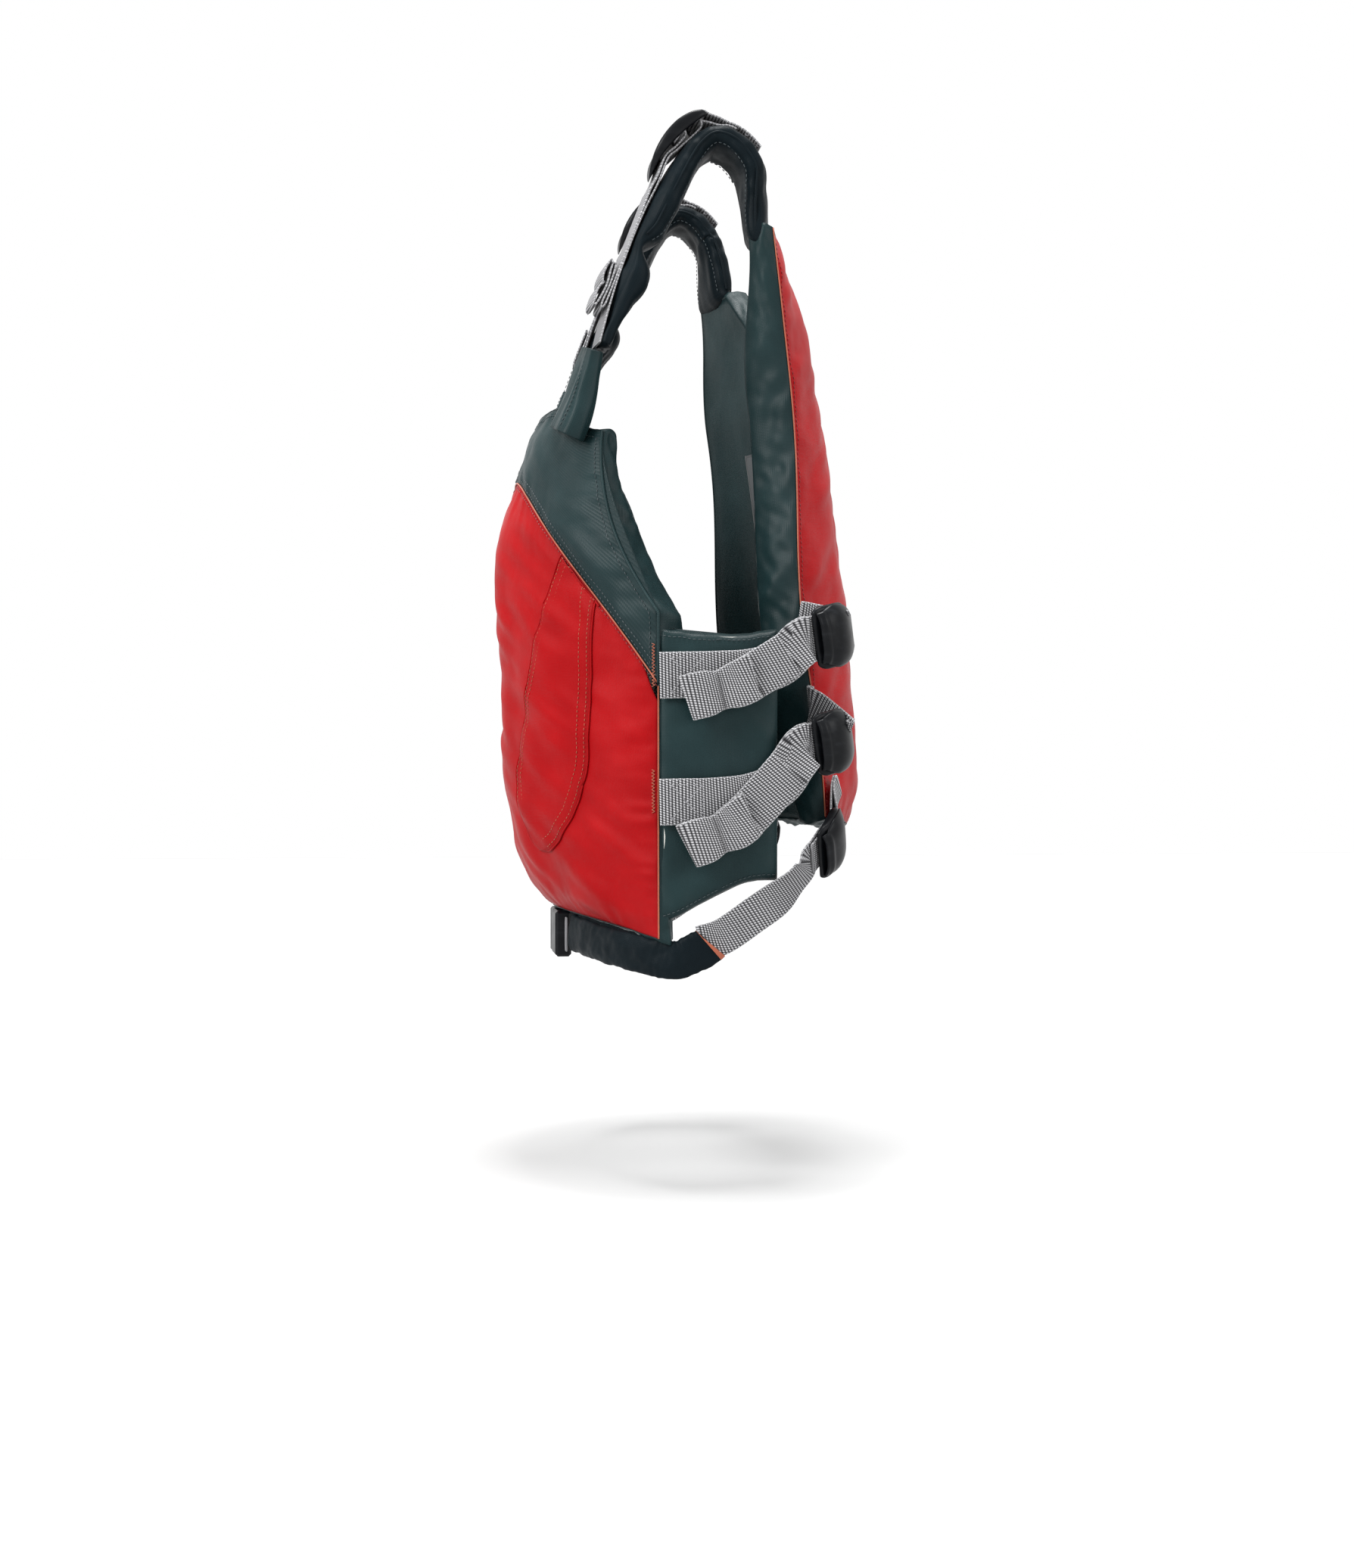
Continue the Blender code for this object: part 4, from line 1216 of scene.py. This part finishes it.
def ladder_lock(name, place, stations, side):
    """A moulded ladder-lock: two arched rails and three bars, smoothed by subdivision."""
    shares = [-1.0, -0.80, -0.40, 0.0, 0.40, 0.80, 1.0]
    points = []
    for layer in (1.0, -1.0):
        for x, narrow, arch, rail, bar in stations:
            for share in shares:
                half_thick = rail if abs(share) > 0.7 else bar
                points.append(place(x, share * narrow * LOCK_HALF_WIDTH, arch + layer * half_thick))
    columns, rows = len(shares), len(stations)
    holes = {(i, j) for i in LOCK_SLOTS for j in range(1, columns - 2)}
    cells = {(i, j) for i in range(rows - 1) for j in range(columns - 1)} - holes
    faces = []
    for i, j in sorted(cells):
        corners = [i * columns + j, (i + 1) * columns + j, (i + 1) * columns + j + 1, i * columns + j + 1]
        faces.append(corners)
        faces.append([columns * rows + corner for corner in reversed(corners)])
        neighbours = [(i, j - 1), (i + 1, j), (i, j + 1), (i - 1, j)]
        for k, neighbour in enumerate(neighbours):
            if neighbour not in cells:
                a, b = corners[k], corners[(k + 1) % 4]
                faces.append([b, a, columns * rows + a, columns * rows + b])
    made = mesh_object(name, points, faces, PLASTIC, side=side)
    modifier = made.modifiers.new("smooth", "SUBSURF")
    modifier.levels = modifier.render_levels = 3
    return made


def lock_lip(name, place, side):
    """The domed lip over a short lock, from its front bar to past its anchor bar, with a raised rim."""
    start, end = -0.0292, 0.0130

    def at(u, v):
        share = 2.0 * u - 1.0
        half = LOCK_HALF_WIDTH * (1.0 - (0.92 * v) ** 3.2) ** 0.5 * mix(0.80, 1.02, ease(v * 2.5))
        rise = 0.0058 * (1.0 - v) + 0.0074 * math.sin(math.pi * v)
        rise *= 1.0 - 0.50 * share**4
        rim = 0.0011 * math.exp(-((v - 0.10) / 0.045) ** 2)
        return place(mix(start, end, v), share * half, rise + rim)

    return solid(grid_object(name, at, 30, 44, PLASTIC, side, flip=True), 0.0018)


def add_short_lock(kind, which, body, place, side):
    put(ladder_lock(f"{kind}_ladder_lock_{which}", place, SHORT_LOCK, side), body, body)
    put(lock_lip(f"{kind}_lock_lip_{which}", place, side), body)


def wrap_points(place, reach):
    """Webbing that comes in under the lip, up through the rear slot, over the middle bar and out again."""
    under, back = -0.0064, -0.0040
    route = [
        (-reach, under - 0.0006), (-0.0300, under), (-0.0130, under + 0.0006), (-0.0062, -0.0044),
        (-0.0040, -0.0008), (-0.0058, 0.0032), (-0.0108, 0.0046), (-0.0156, 0.0034),
        (-0.0176, 0.0004), (-0.0200, -0.0026), (-0.0300, back), (-reach, back - 0.0004),
    ]
    return [place(x, 0.0, z) for x, z in route]


def loop_points(place, far_outer, far_inner):
    """Anchor webbing from the panel round the anchor bar and back to the panel."""
    radius = 0.0032
    turn = [place(radius * math.cos(a), 0.0, radius * math.sin(a)) for a in (1.25, 2.2, 3.1416, 4.1, 5.0)]
    return [*far_outer, *turn, *far_inner]


def stop_points(base, out, length, route):
    """A free tail whose end is folded back on itself. base(d) is the place d metres along the tail, out is
    the way up, and route gives places from its end and how far they stand up."""
    places = [(length * share, 0.0) for share in (0.0, 0.2, 0.4)]
    places += [(length + distance, lift) for distance, lift in route]
    return [base(distance) + out * lift for distance, lift in places]


BOW = [
    (-0.050, 0.0), (-0.040, 0.0010), (-0.0245, 0.0), (-0.014, 0.0022), (-0.004, 0.0018), (0.0, 0.0040),
    (-0.004, 0.0080), (-0.013, 0.0086), (-0.0205, 0.0056), (-0.0245, 0.0024), (-0.0285, 0.0058),
    (-0.036, 0.0084), (-0.045, 0.0082), (-0.049, 0.0050), (-0.045, 0.0028),
]
BLOCKS = [
    (-0.0370, 0.0), (-0.0165, 0.0), (-0.0040, 0.0002), (-0.0006, 0.0014), (-0.0040, 0.0027),
    (-0.0165, 0.0021), (-0.0290, 0.0027), (-0.0326, 0.0041), (-0.0290, 0.0054), (-0.0165, 0.0041),
    (-0.0040, 0.0054),
    (-0.0004, 0.0069), (-0.0034, 0.0084), (-0.0105, 0.0088), (-0.0150, 0.0078), (-0.0165, 0.0060),
    (-0.0180, 0.0078), (-0.0230, 0.0090), (-0.0300, 0.0086), (-0.0338, 0.0070), (-0.0320, 0.0058),
]
FLAT = [(-0.0340, 0.0), (-0.0040, 0.0), (0.0, 0.0012), (-0.0040, 0.0025), (-0.0300, 0.0025)]


def add_shoulder_webbing():
    place = in_buckle(SHOULDER_BUCKLE, SHOULDER_ALONG, SHOULDER_FACING)
    lift = WEB_THICK / 2.0 + 0.0008
    anchor = [off_shoulder(share, lift + LAYER) for share in (0.235, 0.265, 0.295, 0.325, 0.350)]
    round_bar = [
        (0.0088, -0.0090), (0.0052, -0.0030), (0.0030, 0.0020), (0.0, 0.0034), (-0.0030, 0.0018),
        (-0.0030, -0.0018), (0.0010, -0.0072), (0.0050, -0.0128),
    ]
    anchor += [place(x, 0.0, z) for x, z in round_bar]
    anchor += [off_shoulder(share, lift) for share in (0.345, 0.320)]
    tab_end = [off_shoulder(share, lift) for share in (1.0, 0.94, 0.88, 0.82, 0.76, 0.70, 0.65)]
    wrap = wrap_points(place, 0.040)
    returned = [off_shoulder(share, lift + LAYER + 0.0006) for share in (0.630, 0.66)]

    line_start = off_shoulder(0.66, lift + LAYER + 0.0006)
    line_end = off_shoulder(0.930, lift + LAYER + 0.0010)
    run = line_end - line_start
    out = Vector((0.0, run.z, -run.y)).normalized()

    def base(distance):
        return line_start + run * (distance / run.length)

    turned = fixed(Vector((1.0, 0.09, 0.0)))
    for side, hand in SIDES:
        web = ribbon(f"shoulder_anchor_ribbon_{hand}", anchor, ACROSS_X, WEB_WIDTH, 200, side)
        put(web, "root", f"shoulder_anchor_web_{hand}")
        load = ribbon(f"shoulder_ribbon_{hand}", tab_end + wrap + returned, turned, WEB_WIDTH, 320, side)
        near, far = off_shoulder(0.60, 0.0), place(-0.020, 0.0, 0.0)
        bridge(load, side, f"shoulder_web_{hand}", f"shoulder_buckle_{hand}", near, far)
        tail = stop_points(base, out, run.length, BLOCKS if side > 0.0 else FLAT)
        end = ribbon(f"shoulder_tail_ribbon_{hand}", tail, turned, WEB_WIDTH, 200, side)
        put(end, f"shoulder_tail_{hand}", f"shoulder_tail_{hand}")
        lock = ladder_lock(f"shoulder_ladder_lock_{hand}", place, LONG_LOCK, side)
        put(lock, f"shoulder_buckle_{hand}", f"shoulder_buckle_{hand}")

        tacks = []
        for share in (0.245, 0.285, 0.335):
            centre = off_shoulder(share, lift + WEB_THICK / 2.0 + 0.0003)
            half = Vector((WEB_WIDTH / 2.0 - 0.003, 0.0, 0.0))
            tacks.append(zigzag(centre - half, centre + half, shoulder_out(share), 0.0035, 34))
        sew(f"shoulder_bartacks_{hand}", tacks, GREY_THREAD, side, **BARTACK)


def add_side_webbing():
    face = FLAP_FACE_X + WEB_THICK / 2.0 + 0.0012
    for level, (seam, buckle, anchor, drop) in SIDE_STRAPS.items():
        bar = Vector((0.1400, 0.0970, buckle + 0.004))
        place = in_buckle(bar, SIDE_ALONG, SIDE_FACING)
        bar_way = upward_bar(SIDE_ALONG, SIDE_FACING)
        rear = mix(seam, buckle, 0.62)

        def across(share):
            turned = ease((share - 0.35) / 0.2) - ease((share - 0.85) / 0.12)
            return Vector((0.0, 0.0, 1.0)).lerp(bar_way, turned)

        going = [
            (face - 0.0016, -0.0335, seam), (face, -0.020, seam + 0.0003),
            (face + 0.0004, 0.005, seam + 0.001), (face + 0.0010, 0.030, mix(seam, buckle, 0.10)),
            (face + 0.0010, 0.050, mix(seam, buckle, 0.33)),
        ]
        back = face + LAYER + 0.0006
        hinge = Vector((back + 0.0004, 0.0560, rear - 0.002))
        points = [Vector(p) for p in going] + wrap_points(place, 0.037) + [hinge]

        end_height = seam - drop
        middle = Vector((back + 0.0012, 0.0200, (rear + end_height) / 2.0 - 0.4 * drop))
        low = Vector((back + 0.0012, -0.0160, end_height))
        droop = smooth_path([hinge, middle, low])
        pace = even_path(droop)
        length = pace.length
        tail = stop_points(lambda d: pace(d / length), Vector((1.0, 0.0, 0.0)), length, BOW)
        knot = pace(1.0 - 0.0245 / length) + Vector((0.0030, 0.0, 0.0))

        sewn_y, bent = BACK_EDGE_Y(anchor) - 0.004, anchor - 0.002
        tie_outer = [Vector((0.1200, sewn_y, anchor)), Vector((0.1245, 0.0800, bent))]
        tie_inner = [Vector((0.1225, 0.0800, bent)), Vector((0.1175, sewn_y, anchor))]
        tie = loop_points(place, tie_outer, tie_inner)

        for side, hand in SIDES:
            strap = ribbon(f"side_ribbon_{level}_{hand}", points, across, WEB_WIDTH, 260, side)
            node, buckle_body = f"side_strap_{level}_{hand}", f"side_buckle_{level}_{hand}"
            bridge(strap, side, node, buckle_body, hinge, place(-0.030, 0.0, 0.0))
            tail_name = f"side_tail_ribbon_{level}_{hand}"
            end = ribbon(tail_name, tail, tail_across(droop), WEB_WIDTH, 220, side, knot)
            put(end, f"side_tail_{level}_{hand}", f"side_tail_{level}_{hand}")
            web = ribbon(f"side_anchor_ribbon_{level}_{hand}", tie, fixed(bar_way), WEB_WIDTH, 120, side)
            put(web, "root", f"side_anchor_{level}_{hand}")
            add_short_lock("side", f"{level}_{hand}", buckle_body, place, side)
            add_box_stitch(f"side_strap_stitch_{level}_{hand}", face, seam, side)


def tail_across(droop):
    """Square to the drooping tail, in the plane of the flap."""

    def across(share):
        run = droop(min(share + 0.1, 1.0)) - droop(max(share - 0.1, 0.0))
        return Vector((0.0, run.z, -run.y)) * (1.0 if run.y < 0.0 else -1.0)

    return across


def add_box_stitch(name, face, seam, side):
    """The boxed cross that holds a strap to the flap's front edge."""
    lift = face + WEB_THICK / 2.0 + 0.0002
    half = WEB_WIDTH / 2.0 - 0.004
    front, rear = -0.026, -0.004
    corners = [(front, -half), (rear, -half), (rear, half), (front, half)]
    corners = [Vector((lift, y, seam + z)) for y, z in corners]

    def line(start, end):
        return lambda share: start.lerp(end, share)

    lines = [line(corners[i], corners[(i + 1) % 4]) for i in range(4)]
    lines += [line(corners[0], corners[2]), line(corners[1], corners[3])]
    sew(name, lines, GREY_THREAD, side, pitch=0.0028, share=0.7, radius=0.0003)


# ---------------------------------------------------------------- waist belt


BELT_PATH = [
    (0.046, -0.0835), (0.080, -0.0735), (0.115, -0.0560), (0.139, -0.0350), (0.148, -0.0150),
    (0.1505, 0.0020),
]
BELT_TOPS = [(0.0, 0.0395), (0.4, 0.0325), (0.7, 0.0265), (0.85, 0.0310), (1.0, 0.0385)]
BELT_DEEP = 0.0265


def add_belt():
    tops = height_curve(BELT_TOPS)
    line = smooth_path([(x, y, 0.0) for x, y in BELT_PATH])

    def middle(v):
        point = line(v)
        point.z = tops(v) - BELT_DEEP / 2.0
        return point

    def gathers(x, y, v):
        return 0.0011 * wrinkle(v * 16.0, x * 1.2, 61.0) + 0.0005 * wrinkle(v * 40.0, x * 3.0, 62.0)

    across = fixed(Vector((0.0, 0.0, 1.0)))
    at = swept(middle, across, fixed(BELT_DEEP / 2.0), fixed(0.0040), 2.6, gathers)
    hem_half = fixed(BELT_DEEP / 2.0 + 0.0004)
    rim = swept(lambda v: middle(mix(0.975, 1.0, v)), across, hem_half, fixed(0.0045), 2.6)
    bar_place = in_buckle(WAIST_BAR, WAIST_ALONG, WAIST_FACING)
    bar_way = upward_bar(WAIST_ALONG, WAIST_FACING)

    def strap_across(share):
        return Vector((0.0, -0.45, 1.0)).lerp(bar_way, ease((share - 0.3) / 0.2))

    strap = [Vector(p) for p in [
        (0.1500, -0.0050, 0.0250), (0.1508, 0.0110, 0.0300), (0.1512, 0.0320, 0.0440),
        (0.1500, 0.0520, 0.0580), (0.1480, 0.0680, 0.0740),
    ]]
    strap += wrap_points(bar_place, 0.034)
    sewn, edge = (0.1040, 0.1350), (0.1110, 0.1220)
    outer = [in_panel(BACK, x, height, -0.0028) for x, height in (sewn, edge)]
    inner = [in_panel(BACK, x, height, -0.0008) for x, height in (edge, sewn)]
    loop = loop_points(bar_place, outer, inner)
    for side, hand in SIDES:
        sleeve = grid_object(f"belt_sleeve_cloth_{hand}", at, 56, 120, DARK, side, wrap=True)
        put(sleeve, "root", f"belt_sleeve_{hand}", fill=0.3)
        binding = grid_object(f"belt_sleeve_binding_{hand}", rim, 48, 6, AMBER_THREAD, side, wrap=True)
        put(binding, "root")
        web = ribbon(f"belt_ribbon_{hand}", strap, strap_across, BELT_WIDTH, 220, side)
        far = bar_place(-0.026, 0.0, 0.0)
        bridge(web, side, f"belt_strap_{hand}", f"belt_adjuster_{hand}", strap[4], far)
        held = ribbon(f"belt_anchor_ribbon_{hand}", loop, fixed(bar_way), BELT_WIDTH, 100, side)
        put(held, "root", f"belt_anchor_{hand}")
        add_short_lock("belt", hand, f"belt_adjuster_{hand}", bar_place, side)


def add_clip_webbing():
    """The short lengths of webbing between the sleeve and the clip's two halves."""
    for hand, body in (("left", "root"), ("right", "clip_plug")):
        low, high = (Vector(corner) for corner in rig.box(f"belt_web_{hand}"))
        level, depth = (low.z + high.z) / 2.0 + HANG_HEIGHT, (low.y + high.y) / 2.0
        points = [Vector((mix(low.x, high.x, share), depth, level)) for share in (0.0, 0.33, 0.67, 1.0)]
        web = ribbon(f"clip_ribbon_{hand}", points, fixed(Vector((0.0, 0.0, 1.0))), high.z - low.z, 60)
        put(web, body, f"belt_web_{hand}")


# ---------------------------------------------------------------- carried-over parts, camera and light


def dress_cad_nodes():
    looks = {"foam": FOAM, "clip": PLASTIC}
    for name, node in frame["nodes"].items():
        for word, material in looks.items():
            if word in name:
                node.data.materials.clear()
                node.data.materials.append(material)


def add_stage():
    reach = 6.0
    floor_level = -0.738
    corners = [(-reach, -reach), (reach, -reach), (reach, reach), (-reach, reach)]
    points = [(x, y, floor_level + HANG_HEIGHT) for x, y in corners]
    floor = mesh_object("floor", points, [[0, 1, 2, 3]], floor_paper("pale_paper"))
    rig.stage(floor)

    world = bpy.data.worlds.new("studio")
    world.use_nodes = True
    background = world.node_tree.nodes["Background"]
    background.inputs["Color"].default_value = (1.0, 1.0, 1.0, 1.0)
    background.inputs["Strength"].default_value = 1.0
    bpy.context.scene.world = world
    bpy.context.scene.view_settings.view_transform = "Standard"


def stand(name, data, place=(0.0, 0.0, 0.0), turn=(0.0, 0.0, 0.0)):
    """Puts a light or a camera in the scene."""
    holder = bpy.data.objects.new(name, data)
    holder.location = place
    holder.rotation_euler = turn
    bpy.context.scene.collection.objects.link(holder)
    return holder


def add_light(name, place, target, size, power):
    light = bpy.data.lights.new(name, "AREA")
    light.shape = "DISK"
    light.size = size
    light.energy = power
    aim = Vector(target) - Vector(place)
    stand(name, light, place, aim.to_track_quat("-Z", "Y").to_euler())


def add_lights():
    jacket_middle = (0.0, 0.0, -0.30)
    add_light("key", (1.1, -1.7, 0.7), jacket_middle, 1.0, 44.0)
    add_light("fill", (1.6, 1.7, 0.3), jacket_middle, 1.2, 16.0)
    overhead = bpy.data.lights.new("overhead", "SUN")
    overhead.energy = 4.8
    overhead.angle = math.radians(24.0)
    stand("overhead", overhead)


def add_camera():
    azimuth, distance, level = math.radians(82.0), 1.5, -0.455
    camera = bpy.data.cameras.new("camera")
    camera.sensor_fit = "VERTICAL"
    camera.sensor_height = 36.0
    camera.lens = 45.0
    place = (distance * math.sin(azimuth), -distance * math.cos(azimuth), level)
    bpy.context.scene.camera = stand("camera", camera, place, (math.radians(90.0), 0.0, azimuth))


def main():
    add_front()
    add_back()
    add_pockets()
    add_tabs()
    add_flaps()
    add_shoulder_pads()
    add_shoulder_webbing()
    add_side_webbing()
    add_belt()
    add_clip_webbing()
    dress_cad_nodes()
    add_stage()
    add_camera()
    add_lights()


main()
with open("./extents.json", "w") as sizes:
    json.dump([[list(corner) for corner in CAD_BOX], [list(corner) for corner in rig.bounds()]], sizes)
